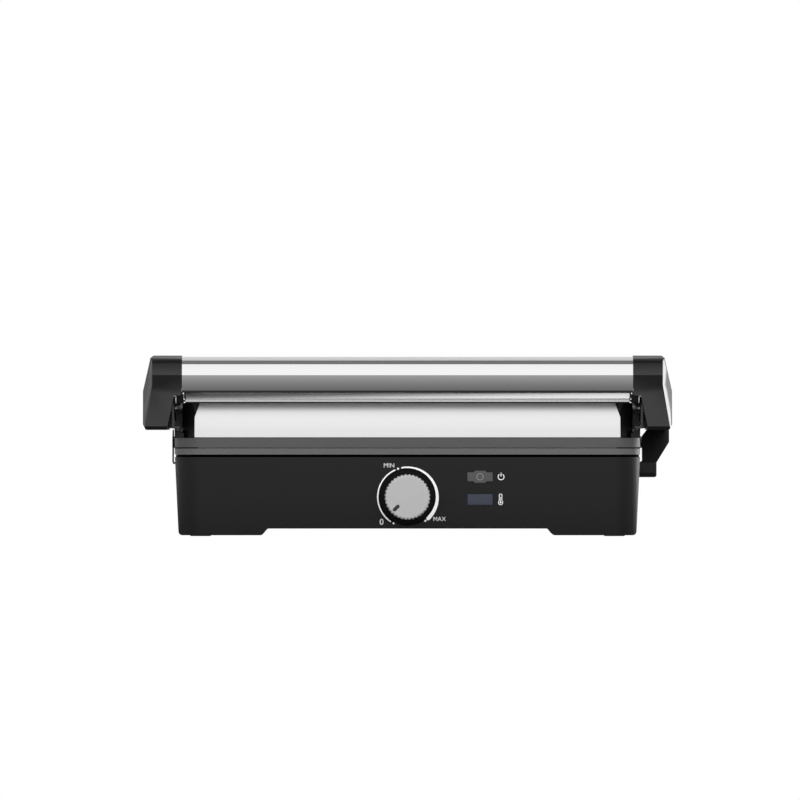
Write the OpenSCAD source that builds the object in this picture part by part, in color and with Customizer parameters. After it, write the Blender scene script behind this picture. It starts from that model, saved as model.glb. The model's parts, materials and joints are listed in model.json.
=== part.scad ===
// Electric indoor contact grill: a ribbed lower plate in a plastic base, and a floating lid that
// hangs between two arms. A bar handle joins the arms at the front, and they pivot at the rear.
// Millimetres. +X right, +Y back, +Z up. The origin is on the table, under the middle of the grill.

/* [Base] */
// Width of the base at its top edge
base_w = 308; // [300:1:316]
// Depth of the base
base_d = 273; // [262:1:284]
// Height of the base's top edge above the table
base_top = 52.3; // [51:0.1:56]
// Inward draft of each side from top edge to table
base_draft = 2.5; // [1:0.1:3]
// Radius of the upright corners
base_corner = 18; // [14:1:22]
// Wall of the base shell
base_wall = 3; // [2.5:0.1:3.4]
// Height of the skirt's underside above the table
arch_h = 5; // [4.5:0.1:5.5]
// Radius of the edges around the feet
foot_edge = 2.6; // [1.4:0.1:3]
// Width of each foot along the front, at the skirt
foot_w = 61.2; // [54:0.1:68]
// Sideways slant of a foot's inner flank
foot_slant = 4; // [2:0.1:6]
// Length of a foot along the side of the base
foot_run = 58; // [50:1:70]
// Radius of a rubber pad
pad_r = 7; // [5:0.1:9]
// Height of a rubber pad
pad_h = 2.4; // [1.6:0.1:3]
// How far a pad stands out below its foot
pad_stand = 0.6; // [0.4:0.1:1]
// Thickness of the bottom cover
cover_t = 2.5; // [1.8:0.1:3]
// Radius of the screw columns inside the base
column_r = 5; // [4.5:0.1:6]

/* [Grill plates] */
// Shadow gap between the base and the lower plate's rim
plate_gap = 1.7; // [1:0.1:2]
// Height of the lower plate's rim
lower_rim_h = 4; // [3.8:0.1:5]
// Height of the upper plate's skirt
upper_rim_h = 7; // [6.8:0.1:8.4]
// Width of the rim around a cooking surface
rim_w = 5; // [4:0.1:7]
// Thickness of a plate under its ribs
slab_t = 4; // [3.5:0.1:4.5]
// Depth of the lower cooking surface below the parting plane
lower_sink = 7; // [6.8:0.1:8]
// Depth of the upper cooking surface above the parting plane
upper_sink = 6; // [5.8:0.1:6.6]
// Clear height between lower and upper rib tips
rib_clear = 5.2; // [4.8:0.1:5.6]
// Width of a rib
rib_w = 4; // [3:0.1:5]
// Spacing of the ribs
rib_pitch = 11; // [9:0.1:14]

/* [Lid] */
// How far the lid's frame stands inside the base's side
lid_inset = 5; // [5:0.1:6]
// Height of the lid frame
lid_frame_h = 23; // [21.5:0.1:23.4]
// Wall of the lid frame
lid_wall = 3; // [2.4:0.1:3.4]
// Width of the plastic end beside the steel front panel
panel_inset = 8; // [7:0.1:13]
// Sheet thickness of the steel covers
sheet_t = 1; // [0.8:0.1:1.2]
// Height of the top cover's edge
cover_h = 6.5; // [6:0.1:7]
// Radius of the top cover's corners
cover_corner = 6; // [4:0.5:10]
// Rise of the top cover's crown above its edge
crown_h = 2; // [1:0.1:2.5]
// Radius of the bead along the top cover's front edge
bead_r = 0.8; // [0.5:0.1:1]
// Radius of the front panel's curve
panel_r = 60; // [52:1:70]
// Height at which the front panel's sides begin to lean in
panel_shoulder = 13.6; // [12:0.1:15]

/* [Arms and handle] */
// Gap between the lid and each arm's lip
arm_gap = 0.2; // [0.1:0.05:0.6]
// Width of an arm
arm_w = 25.8; // [24.8:0.1:28.8]
// How far an arm's outer face leans in at its top
arm_lean = 5; // [3:0.1:6]
// Underside of the arms above the table
arm_bottom = 70.3; // [69.8:0.1:71]
// Wall of the arm covers
arm_wall = 2.4; // [2:0.1:2.8]
// Drop of an arm's top edge from handle to hinge
arm_fall = 38; // [34:1:39]
// How far the handle stands in front of the base
handle_reach = 25; // [24:0.5:30]
// Height of the handle's section
grip_h = 24.6; // [23.5:0.1:25.5]
// Depth of the handle's section
grip_d = 23; // [21:0.1:23]
// How far an arm's end stands proud of the steel bar
grip_proud = 0.8; // [0.5:0.1:1]
// Thickness of the steel arm plates
arm_plate_t = 1.4; // [1:0.1:1.5]
// Height of the lid pivot above the table
pivot_z = 84.7; // [83:0.1:85]
// Place of the lid pivot along the depth
pivot_y = -10; // [-30:1:10]
// Radius of the lid pivot pin
pivot_r = 2.4; // [2:0.1:2.6]

/* [Hinge] */
// How far the hinge axis stands behind the base
hinge_setback = 4; // [3:0.5:5]
// Height of the hinge axis above the parting plane
hinge_rise = 4; // [3.5:0.1:4.2]
// Radius of the hinge pin
hinge_pin_r = 4; // [3:0.1:4.2]
// Radius of the round ends around the hinge pin
hinge_end_r = 8.3; // [7.6:0.1:8.6]
// Radius of the outer housing's barrel
barrel_r = 10; // [9.5:0.1:10.2]
// How far the right housing stands out from the base's side
housing_w = 21; // [18:0.1:21]
// Width of the housing's foot at the base
housing_foot = 12.6; // [10:0.1:14]
// Underside of the housing above the table
housing_bottom = 38.5; // [34:0.1:40]

/* [Controls] */
// Height of the knob above the table
knob_z = 25.9; // [24:0.1:27]
// Radius of the knob
knob_r = 15.25; // [13:0.05:16]
// Length of the knob in front of the panel
knob_h = 14; // [11:0.5:17]
// Turn of the knob's pointer from straight up, clockwise from the front
pointer_turn = 226; // [0:1:360]
// Flutes around the knob
knob_flutes = 36; // [24:1:40]
// Radius of the sunken dish around the knob
dish_r = 19; // [17.5:0.1:19.5]
// Depth of the sunken dish
dish_depth = 1.4; // [0.8:0.1:1.6]
// Radius of the knob shaft
shaft_r = 3; // [2.5:0.1:3.2]
// Place of the lamp windows, from the middle
window_x = 48; // [46:0.1:60]
// Width of a lamp window
window_w = 17.2; // [14:0.1:18]
// Height of the power lamp window
power_h = 6.3; // [5.5:0.1:6.6]
// Height of the heat lamp window
heat_h = 7.5; // [6:0.1:7.8]
// Height of the power lamp above the table
power_z = 39.3; // [38.6:0.1:40]
// Height of the heat lamp above the table
heat_z = 24.3; // [23:0.1:25]

/* [Heating and fat] */
// Radius of the tubular heating elements
element_r = 3.25; // [2.8:0.05:3.4]
// Sheet thickness of the heat reflectors
reflector_t = 0.8; // [0.6:0.1:1]
// Clear width between the drip tray and the terminal block
tray_room = 12; // [6:1:22]
// Length of the drip tray
tray_d = 78; // [70:1:84]
// Height of the drip tray
tray_h = 10.5; // [9:0.1:11]
// Wall of the drip tray
tray_wall = 2; // [1.5:0.1:2.4]
// Radius of the cord gland
gland_r = 6; // [5:0.1:6.4]

/* [Fits] */
// Clearance between pieces that move past each other
slack = 0.3; // [0.25:0.01:0.35]
// Clearance of a pin in its bore
pin_fit = 0.05; // [0.03:0.01:0.08]
// Clearance of a piece that is seated on another
seat = 0.1; // [0.05:0.01:0.15]
// Radius of the screws
screw_r = 1.5; // [1.2:0.1:1.8]
// Radius of the screws' heads
screw_head_r = 2.9; // [2.4:0.1:3.2]

/* [Hidden] */
$fn = 48;
far = 400;

base_half = base_w / 2;
lid_half = base_half - lid_inset;
panel_half = lid_half - panel_inset;
arm_in = lid_half + arm_gap;
arm_out = arm_in + arm_w;
housing_out = base_half + housing_w;
overall_d = handle_reach + base_d + hinge_setback + barrel_r;
front_y = -overall_d / 2 + handle_reach;
back_y = front_y + base_d;
hinge_y = back_y + hinge_setback;
part_z = base_top + plate_gap + lower_rim_h;
hinge_z = part_z + hinge_rise;
upper_rim_z = part_z + upper_rim_h;

cover_z = arch_h + 0.2;
cavity_z = cover_z + cover_t;
column_top = 42;
column_x = base_half - 29;
column_front = front_y + 26;
column_back = back_y - 27;
foot_x = base_half - foot_w;
pad_x = column_x + 12;
pad_front = front_y + 20;
pad_back = back_y - 20;

plate_back = hinge_y - hinge_end_r - 3.7;
lower_slab_z = part_z - lower_sink - slab_t;
lower_rib_h = lower_sink - rib_clear / 2;
upper_slab_z = part_z + upper_sink;
upper_rib_h = upper_sink - rib_clear / 2;
upper_pan_z = upper_slab_z + slab_t + 7.5 + seat;
lower_pan_z = lower_slab_z - 12;
pan_half = column_x - 10;
bend_r = 20;
element_x = column_x - bend_r;
element_front = front_y + 40;
element_back = plate_back - 45;
tail_x = 18;
cutout_x = 60;
cutout_r = 7;
spout_half = 9;
spout_wall = 2;
spout_back = plate_back - 10;
spout_d = 12;
plate_body = base_half - base_wall - 5;

lid_back = plate_back + 1;
frame_z = upper_rim_z + 0.2;
frame_top = frame_z + lid_frame_h;
lid_cover_z = frame_top + 0.3;
lid_cover_top = lid_cover_z + cover_h;
cover_front = front_y + 2.2;
stop_half = base_half - 0.4;

grip_front = front_y - handle_reach;
grip_top = lid_cover_top + 0.7 + grip_h - grip_proud;
arm_front = grip_front + 5.5;
arm_back = hinge_y - 3;
arm_crest = front_y + 31;
ridge_x = arm_out - 6.2;
ridge_knee = grip_top - 19.5;
ridge_spread = 9.8;
plate_in = base_half + slack;
plate_out = plate_in + arm_plate_t;
tower_in = base_half - 14;
tower_out = base_half - 0.3;

bush_r = 5.2;
shaft_hole_r = bush_r + seat;
tray_back = back_y - base_wall;
tray_z = cavity_z + slack;
gland_x = 59 - base_half;
terminal_right = gland_x + 13;
tray_half = -terminal_right - tray_room;
gland_z = tray_z + 6.5;
slide_y = hinge_y - 48;
slide_z = arm_bottom + 9.5;
slide_travel = 6;
spring_x = arm_out - 9.5;
spring_r = 2.4;
spring_l = 16;
handle_screw_y = grip_front + 13;
handle_screw_z = grip_top - 12;
housing_screw_y = hinge_y - 18;
housing_screw_z = housing_bottom + 4;
lip_z = grip_top - 26.4;
web_front = pivot_y + 24;
web_back = pivot_y + 66;
stop_front = arm_front + 24;
stop_back = arm_front + 46;
flange_z = arm_bottom + 0.9;
bend_y = hinge_y - 28;
bend_z = pivot_z - 6.7;
board_y = front_y + 14;
lamp_r = 2.4;
pointer_in = knob_r - 7.9;
pointer_out = knob_r - 2;

// ---- shared shapes ----

// A plane shape drawn in (y, z), as wide as from x0 to x1.
module along_x(x0, x1) {
    translate([x0, 0, 0]) rotate([90, 0, 90]) linear_extrude(x1 - x0) children();
}

// A plane shape drawn in (x, z), as deep as from y0 to y1.
module along_y(y0, y1) {
    translate([0, y1, 0]) rotate([90, 0, 0]) linear_extrude(y1 - y0) children();
}

module box(x0, x1, y0, y1, z0, z1) {
    translate([x0, y0, z0]) cube([x1 - x0, y1 - y0, z1 - z0]);
}

module rod_x(r, x0, x1, y, z) {
    translate([x0, y, z]) rotate([0, 90, 0]) cylinder(r = r, h = x1 - x0);
}

module rod_y(r, y0, y1, x, z) {
    translate([x, y0, z]) rotate([-90, 0, 0]) cylinder(r = r, h = y1 - y0);
}

// A rectangle about x = 0 with round corners.
module plan(half, y0, y1, r) {
    translate([-half, y0 + r]) square([2 * half, y1 - y0 - 2 * r]);
    translate([r - half, y0]) square([2 * (half - r), y1 - y0]);
    for (x = [r - half, half - r], y = [y0 + r, y1 - r]) {
        translate([x, y]) circle(r = r);
    }
}

module slab(half, y0, y1, r, z0, z1) {
    translate([0, 0, z0]) linear_extrude(z1 - z0) plan(half, y0, y1, r);
}

// Both sides of a pair that is one group of solids.
module pair() {
    children();
    mirror([1, 0, 0]) children();
}

module four(x, y0, y1) {
    for (sx = [-x, x], y = [y0, y1]) {
        translate([sx, y, 0]) children();
    }
}

// ---- base ----

// The base's drafted block, drawn in by inset on every side.
module base_block(inset, z0, z1) {
    low = base_half - base_draft - inset;
    high = base_half - inset;
    intersection() {
        slab(high, front_y + inset, back_y - inset, base_corner - inset, z0, z1);
        along_y(front_y - 1, back_y + 1) soft(foot_edge) {
            polygon([[-low, pad_stand], [low, pad_stand], [high, base_top], [high, base_top + 9],
                [-high, base_top + 9], [-high, base_top]]);
        }
    }
}

// A plane shape with rounded outer corners.
module soft(r) {
    offset(r = r) offset(delta = -r) children();
}

// The space under the base between two feet, from a to b at the skirt, and below all feet.
module arch(a, b) {
    z = pad_stand;
    slant = foot_slant * (1 - z / arch_h);
    offset(r = -foot_edge) offset(r = 2 * foot_edge) offset(delta = -foot_edge) {
        polygon([[-far, -far], [-far, z], [a - slant, z], [a, arch_h], [b, arch_h], [b + slant, z],
            [far, z], [far, -far]]);
    }
}

module arches() {
    along_y(-far, far) arch(-foot_x, foot_x);
    along_x(-far, far) arch(front_y + foot_run, back_y - foot_run);
}

module columns() {
    four(column_x, column_front, column_back) {
        translate([0, 0, cavity_z]) cylinder(r = column_r, h = column_top - cavity_z);
    }
    for (s = [-1, 1], y = [column_front, column_back]) {
        x = s * (column_x + column_r - 1);
        box(min(x, s * (base_half - base_wall)), max(x, s * (base_half - base_wall)),
            y - 1, y + 1, cavity_z, column_top - 6);
    }
}

// A tower at each rear corner carries the hinge bushes.
module tower() {
    difference() {
        along_x(tower_in, tower_out) {
            translate([hinge_y, hinge_z]) circle(r = hinge_end_r);
            polygon([[hinge_y - hinge_end_r, hinge_z], [hinge_y - hinge_end_r, base_top - 1],
                [back_y - 12, base_top - 1], [back_y - 12, base_top - 14],
                [back_y, base_top - 14], [hinge_y + hinge_end_r, base_top - 2],
                [hinge_y + hinge_end_r, hinge_z]]);
        }
        rod_x(hinge_pin_r + 2, tower_in - 1, tower_out + 1, hinge_y, hinge_z);
    }
}

module window_hole(z, w, h) {
    box(window_x - w / 2, window_x + w / 2, front_y - 1, front_y + base_wall + 1, z - h / 2, z + h / 2);
}

module base_shell() color("#252527") {
    difference() {
        union() {
            difference() {
                base_block(0, pad_stand, base_top);
                base_block(base_wall, arch_h - 0.5, base_top + 1);
            }
            // Rear deck behind the lower plate
            intersection() {
                base_block(base_wall / 2, base_top - 2.4, base_top);
                box(-far, far, plate_back - 6, back_y, 0, far);
            }
            columns();
            pair() tower();
            // Pads that the lower plate's rim rests on
            pair() {
                for (y = [front_y + 31, back_y - 63]) {
                    box(plate_body + 1, base_half - 0.6, y, y + 6, base_top - 3, base_top + plate_gap - seat);
                }
            }
            // Standoffs for the lamp board
            for (x = [window_x - 10, window_x + 16]) {
                rod_y(2.4, front_y + base_wall - 0.2, board_y, x, (power_z + heat_z) / 2);
            }
            box(-15, 15, front_y + base_wall - 0.1, front_y + base_wall + 1, knob_z - 15, knob_z + 15);
        }
        arches();
        four(pad_x, pad_front, pad_back) {
            cylinder(r = pad_r + seat, h = pad_h + seat);
        }
        four(column_x, column_front, column_back) {
            translate([0, 0, cavity_z - 1]) cylinder(r = screw_r, h = column_top);
            cylinder(r = screw_head_r + 0.5, h = cover_z);
        }
        rod_y(dish_r, front_y - 1, front_y + dish_depth, 0, knob_z);
        rod_y(shaft_hole_r, front_y - 1, front_y + base_wall + 2, 0, knob_z);
        window_hole(power_z, window_w, power_h);
        window_hole(power_z, window_w / 2, power_h + 2.2);
        window_hole(heat_z, window_w, heat_h);
        // Drip tray's doorway and the cord gland's hole
        box(-tray_half - 1.5, tray_half + 1.5, tray_back - 1, back_y + 1, cavity_z, tray_z + tray_h + 0.6);
        rod_y(gland_r - 1.5 + seat, tray_back - 1, back_y + 1, gland_x, gland_z);
        // The left bracket's and the right housing's screws
        for (s = [-1, 1]) {
            rod_x(screw_r, s > 0 ? base_half - 9 : -base_half - 1, s > 0 ? base_half + 1 : 9 - base_half,
                housing_screw_y, housing_screw_z);
        }
    }
}

module bottom_cover() color("#1d1d1f") {
    inner = base_half - base_draft - base_wall - 0.3;
    difference() {
        slab(inner, front_y + base_wall + 0.3, back_y - base_wall - 0.3, base_corner - base_wall,
            cover_z, cavity_z - seat);
        four(column_x, column_front, column_back) {
            cylinder(r = screw_r + pin_fit, h = far);
        }
        // Cooling slots
        for (i = [-5:5], y = [-60, 10]) {
            box(i * 14 - 2, i * 14 + 2, y - 16, y + 16, 0, far);
        }
    }
}

module rubber_pads() color("#151515") {
    four(pad_x, pad_front, pad_back) cylinder(r = pad_r, h = pad_h);
}

module base_screws() color("#8f8f92") {
    four(column_x, column_front, column_back) {
        translate([0, 0, cover_z - 1.6]) cylinder(r = screw_head_r, h = 1.5);
        translate([0, 0, cover_z - 0.2]) cylinder(r = screw_r - pin_fit, h = 16);
    }
}

// ---- grill plates and heating ----

module ribs(z0, z1) {
    side = base_half - rim_w - 9;
    n = floor(side / rib_pitch);
    for (i = [-n:n]) {
        box(i * rib_pitch - rib_w / 2, i * rib_pitch + rib_w / 2, front_y + 16, plate_back - 18, z0, z1);
    }
}

module lower_plate() color("#5f5f61") {
    difference() {
        union() {
            slab(plate_body, front_y + 9, plate_back - 8, base_corner - 6, lower_slab_z, part_z - 1);
            slab(base_half, front_y, plate_back, base_corner, base_top + plate_gap, part_z);
            four(column_x, column_front, column_back) {
                translate([0, 0, column_top + reflector_t + 0.2]) {
                    cylinder(r = 4, h = lower_slab_z - column_top - reflector_t + 0.5);
                }
            }
            // Drain spout over the drip tray
            box(-spout_half, spout_half, spout_back - spout_d, spout_back, tray_z + tray_h + 5,
                lower_slab_z + 1);
        }
        slab(base_half - rim_w - 4, front_y + rim_w + 8, plate_back - rim_w - 7, base_corner - 9,
            lower_slab_z + slab_t, part_z + 1);
        box(spout_wall - spout_half, spout_half - spout_wall, spout_back - spout_d + spout_wall,
            spout_back - spout_wall, 0, part_z);
        four(column_x, column_front, column_back) {
            translate([0, 0, column_top - 1]) cylinder(r = screw_r, h = 5);
        }
    }
    ribs(lower_slab_z + slab_t - 0.1, lower_slab_z + slab_t + lower_rib_h);
}

module corner_bend(x, y, a) {
    translate([x, y, 0]) rotate([0, 0, a]) rotate_extrude(angle = 90) {
        translate([bend_r, 0]) circle(r = element_r);
    }
}

// A bent tube under or over a plate, with both ends at the back, turned down by s.
module element(z, s, tail) {
    x = element_x - bend_r;
    y0 = element_front + bend_r;
    y1 = element_back - bend_r;
    translate([0, 0, z]) {
        rod_x(element_r, -x, x, element_front, 0);
        corner_bend(x, y0, -90);
        corner_bend(-x, y0, 180);
        rod_y(element_r, y0, y1, element_x, 0);
        rod_y(element_r, y0, y1, -element_x, 0);
        corner_bend(x, y1, 0);
        corner_bend(-x, y1, 90);
        rod_x(element_r, tail_x, x, element_back, 0);
        rod_x(element_r, -x, -tail_x, element_back, 0);
        for (t = [-tail_x, tail_x]) {
            translate([t, element_back, min(0, s * tail)]) cylinder(r = element_r - 0.4, h = tail);
        }
    }
}

// Holes in a reflector for the element's tails.
module tail_holes() {
    for (t = [-tail_x, tail_x]) {
        translate([t, element_back, 0]) cylinder(r = element_r + 1, h = far);
    }
}

module lower_element() color("#77726c") {
    element(lower_slab_z - element_r - seat, -1, 14);
}

module pan(half, y0, y1, z0, z1, flange_z) {
    difference() {
        union() {
            slab(half, y0, y1, 8, z0, z1);
            slab(column_x + 6, column_front - 6, column_back + 6, 8, flange_z, flange_z + reflector_t);
        }
        slab(half - reflector_t, y0 + reflector_t, y1 - reflector_t, 7, z0 + reflector_t, z1 + 1);
    }
}

module lower_reflector() color("#a9abae") {
    difference() {
        pan(pan_half, column_front + 8, plate_back - 28, lower_pan_z, column_top + reflector_t,
            column_top + seat);
        four(column_x, column_front, column_back) cylinder(r = screw_r + pin_fit, h = far);
        tail_holes();
        // Way for the drain spout
        box(-spout_half - 1, spout_half + 1, spout_back - spout_d - 1, far, 0, far);
    }
}

module plate_screws() color("#8f8f92") {
    four(column_x, column_front, column_back) {
        translate([0, 0, column_top - 8]) cylinder(r = screw_r - pin_fit, h = 11);
    }
}

module thermostat() color("#c9b79a") {
    y0 = front_y + base_wall + 1 + seat;
    difference() {
        union() {
            rod_y(12, y0 + 2, y0 + 22, 0, knob_z);
            box(-14, 14, y0, y0 + 2, knob_z - 9, knob_z + 9);
            rod_y(bush_r, y0 - 3.4, y0 + 1, 0, knob_z);
        }
        rod_y(shaft_r + pin_fit, y0 - 9, y0 + 14, 0, knob_z);
    }
}

module shaft_nut() color("#b5a368") {
    difference() {
        rod_y(bush_r + 2, front_y + dish_depth - 1.7, front_y + dish_depth - 0.2, 0, knob_z);
        rod_y(bush_r + pin_fit, front_y - 9, front_y + 9, 0, knob_z);
    }
}

module knob_shaft() color("#b9bbbd") {
    rod_y(shaft_r, front_y - knob_h + 5, front_y + base_wall + 14, 0, knob_z);
}

module control_knob() color("#b4b4b6") {
    face_y = front_y - knob_h;
    difference() {
        translate([0, 0, knob_z]) {
            along_y(face_y + 0.8, front_y - 1) difference() {
                circle(r = knob_r, $fn = 96);
                for (i = [0:knob_flutes - 1]) {
                    rotate(i * 360 / knob_flutes) translate([knob_r + 0.35, 0]) circle(r = 0.8, $fn = 16);
                }
            }
            rod_y(knob_r - 1.1, face_y, face_y + 1, 0, 0);
        }
        rod_y(shaft_r + pin_fit, face_y + 5 - seat, front_y, 0, knob_z);
        rod_y(8.2, front_y - 3, front_y, 0, knob_z);
        translate([0, 0, knob_z]) rotate([0, pointer_turn, 0]) {
            box(-1 - seat, 1 + seat, face_y - 1, face_y + 0.9, pointer_in - seat, pointer_out + seat);
        }
    }
}

module knob_pointer() color("#2b2b2d") {
    face_y = front_y - knob_h;
    translate([0, 0, knob_z]) rotate([0, pointer_turn, 0]) {
        box(-1, 1, face_y + 0.05, face_y + 0.8, pointer_in, pointer_out);
    }
}

module lens(z, h, bulge) {
    box(window_x - window_w / 2 + seat, window_x + window_w / 2 - seat, front_y, front_y + base_wall,
        z - h / 2 + seat, z + h / 2 - seat);
    box(window_x - window_w / 4 + seat, window_x + window_w / 4 - seat, front_y, front_y + base_wall,
        z - h / 2 - bulge + seat, z + h / 2 + bulge - seat);
}

module power_window() color("#5a5a5a") {
    lens(power_z, power_h, 1.1);
}

module heat_window() color("#434858") {
    lens(heat_z, heat_h, 0);
}

module lamps() color("#e8a060") {
    for (z = [power_z, heat_z]) {
        rod_y(lamp_r, front_y + base_wall + slack, board_y - 2 * seat, window_x, z);
    }
}

module lamp_board() color("#2f6b45") {
    box(window_x - 14, window_x + 20, board_y + seat, board_y + 1.6, heat_z - 5, power_z + 4);
}

module thermal_cutout() color("#d8d2c4") {
    translate([cutout_x, 0, lower_pan_z - seat - 7]) cylinder(r = cutout_r, h = 7);
}

module terminal_block() color("#e9e6df") {
    difference() {
        box(gland_x - 23, terminal_right, back_y - 46, back_y - 28, cavity_z, cavity_z + 15);
        for (i = [-1:1]) {
            rod_y(2, back_y - 47, back_y - 27, gland_x - 5 + i * 11, cavity_z + 8);
        }
    }
}

module cord_gland() color("#1a1a1b") {
    difference() {
        union() {
            rod_y(gland_r - 1.5, tray_back - 2, back_y, gland_x, gland_z);
            rod_y(gland_r, back_y + seat, back_y + 8, gland_x, gland_z);
            rod_y(gland_r - 1.5, back_y + seat - 0.5, back_y + 1, gland_x, gland_z);
            rod_y(gland_r, tray_back - 4, tray_back - seat, gland_x, gland_z);
        }
        rod_y(gland_r - 2.6, 0, far, gland_x, gland_z);
    }
}

module drip_tray() color("#2c2c2e") {
    y0 = tray_back - tray_d;
    difference() {
        slab(tray_half, y0, tray_back + base_wall - 0.2, 4, tray_z, tray_z + tray_h);
        slab(tray_half - tray_wall, y0 + tray_wall, tray_back - 2, 3, tray_z + tray_wall, far);
    }
    box(-18, 18, tray_back + base_wall - 0.3, tray_back + base_wall + 5, tray_z + tray_h - 2.4,
        tray_z + tray_h);
}

// ---- hinge ----

module right_hinge_housing() color("#383838") {
    x0 = base_half - 0.1;
    x1 = plate_out + 1.2;
    difference() {
        union() {
            intersection() {
                union() {
                    rod_x(barrel_r, x1, housing_out, hinge_y, hinge_z);
                    along_x(x0, housing_out) polygon([[hinge_y - 31, housing_bottom + 3],
                        [hinge_y - 28, housing_bottom], [hinge_y - 2, housing_bottom],
                        [hinge_y - 2, hinge_z], [hinge_y - 7, hinge_z + 7],
                        [hinge_y - 14, hinge_z + 7.5], [hinge_y - 26, base_top + 2],
                        [hinge_y - 31, base_top - 4]]);
                }
                along_y(-far, far) polygon([[x0, housing_bottom], [x0 + housing_foot - 1, housing_bottom],
                    [x0 + housing_foot, housing_bottom + 1], [x0 + housing_foot, base_top - 4],
                    [housing_out, hinge_z], [housing_out, far], [x1 + 3, far], [x1 + 3, hinge_z + 8],
                    [x1, hinge_z + 4], [x1, housing_bottom + 11], [x0, housing_bottom + 9]]);
            }
        }
        rod_x(hinge_pin_r + pin_fit, 0, housing_out - 3, hinge_y, hinge_z);
        rod_x(screw_r + pin_fit, 0, base_half + 6, housing_screw_y, housing_screw_z);
    }
}

module left_hinge_bracket() color("#2a2a2c") mirror([1, 0, 0]) {
    x1 = plate_out + 0.5;
    difference() {
        union() {
            along_x(x1, x1 + 1) {
                translate([hinge_y, hinge_z]) circle(r = hinge_end_r);
                polygon([[hinge_y - 24, base_top - 4], [hinge_y - 2, base_top - 4],
                    [hinge_y - 2, hinge_z], [hinge_y - hinge_end_r, hinge_z + 1],
                    [hinge_y - 24, base_top]]);
            }
            box(base_half + seat, x1 + 0.5, hinge_y - 24, hinge_y - 2, base_top - 5, base_top - 3.6);
            box(base_half - 0.1, base_half + 0.9, hinge_y - 24, hinge_y - 2, housing_bottom, base_top - 4);
        }
        rod_x(hinge_pin_r + pin_fit, 0, far, hinge_y, hinge_z);
        rod_x(screw_r + pin_fit, 0, far, housing_screw_y, housing_screw_z);
    }
}

module hinge_pins() color("#9a9ca0") {
    rod_x(hinge_pin_r, tower_in + 1, housing_out - 3.2, hinge_y, hinge_z);
    mirror([1, 0, 0]) rod_x(hinge_pin_r, tower_in + 1, plate_out + 1.7, hinge_y, hinge_z);
}

module hinge_bushes() color("#c8a25a") pair() {
    difference() {
        rod_x(hinge_pin_r + 2 - pin_fit, tower_in + 1, tower_out, hinge_y, hinge_z);
        rod_x(hinge_pin_r + pin_fit, tower_in, tower_out + 1, hinge_y, hinge_z);
    }
}

module thrust_washers() color("#d9d9d4") pair() {
    difference() {
        rod_x(hinge_pin_r + 3, tower_out + seat, plate_in - seat, hinge_y, hinge_z);
        rod_x(hinge_pin_r + pin_fit, tower_in, plate_in + 1, hinge_y, hinge_z);
    }
}

module housing_screws() color("#8f8f92") {
    rod_x(screw_r - pin_fit, base_half - 8, base_half + 3, housing_screw_y, housing_screw_z);
    mirror([1, 0, 0]) {
        rod_x(screw_r - pin_fit, base_half - 8, base_half + 0.9, housing_screw_y, housing_screw_z);
    }
}

// ---- arms and handle ----

// The handle's section in (y, z): a blunt wedge whose crease faces the cook.
module grip_section() {
    y = grip_front;
    z = grip_top;
    polygon([[y + 6, z - grip_h], [y, z - 12.9], [y + 3.7, z - 5.2], [y + 7, z - 2.6],
        [y + 12.5, z], [y + grip_d - 3, z], [y + grip_d, z - 3.4], [y + grip_d, z - grip_h + 4],
        [y + grip_d - 4, z - grip_h]]);
}

// An arm's outline in (y, z). Its top edge falls in one curve from the handle to the hinge.
module arm_outline() {
    z = grip_top;
    y = grip_front;
    steps = 14;
    polygon(concat([[arm_front + 2, arm_bottom], [arm_front, arm_bottom + 2.4], [arm_front, z - 23.4],
        [y, z - 12.9], [y + 3.7, z - 5.2], [y + 7, z - 2.6], [y + 12.5, z]],
        [for (i = [0:steps]) [arm_crest + (arm_back - arm_crest) * i / steps,
            z - arm_fall * pow(i / steps, 1.8)]],
        [[arm_back, arm_bottom]]));
}

// The arm's section in (x, z), open towards the lid below the lip.
module arm_face() {
    z = grip_top;
    polygon([[arm_in, lip_z], [arm_in, z], [arm_out - arm_lean - 2, z],
        [arm_out - arm_lean, z - 1.6], [arm_out, z - 23.6], [arm_out, arm_bottom + 3.7],
        [arm_out - 2, arm_bottom], [arm_in + 9.6, arm_bottom], [arm_in + 9.3, arm_bottom + 3.5],
        [arm_in + 5.2, lip_z]]);
}

// An arm from above: its front corner is cut back.
module arm_plan(inset) {
    translate([0, 0, -far]) linear_extrude(2 * far) polygon([[arm_in, -far], [ridge_x - inset, -far],
        [ridge_x - inset, arm_front], [arm_out + 6 - inset, arm_front + 32],
        [arm_out + 6 - inset, hinge_y], [arm_in, hinge_y]]);
}

// The ridge between front and side is upright above the knee and spreads outwards below it.
module arm_ridge(inset) {
    intersection() {
        arm_plan(inset);
        translate([0, -far, ridge_knee]) cube([far, 2 * far, far]);
    }
    intersection() {
        translate([ridge_x, 0, ridge_knee]) rotate([0, -ridge_spread, 0]) translate([-ridge_x, 0, 0]) {
            arm_plan(inset);
        }
        translate([0, -far, ridge_knee - far]) cube([far, 2 * far, far]);
    }
}

module arm_block(inset) {
    intersection() {
        along_x(arm_in + (inset > 0 ? inset : 0), arm_out - inset) offset(delta = -inset) arm_outline();
        along_y(-far, far) offset(delta = -inset) arm_face();
        arm_ridge(inset);
        translate([0, 0, arm_bottom + inset]) linear_extrude(far) polygon([[arm_in, -far],
            [arm_out - inset, -far], [arm_out - inset, front_y + 60], [arm_out - 2 - inset, hinge_y],
            [arm_in, hinge_y]]);
    }
}

module arm_bosses(r, x0, x1) {
    for (p = [[arm_crest, pivot_z], [pivot_y + 60, pivot_z]]) {
        rod_x(r, x0, x1, p[0], p[1]);
    }
}

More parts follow.
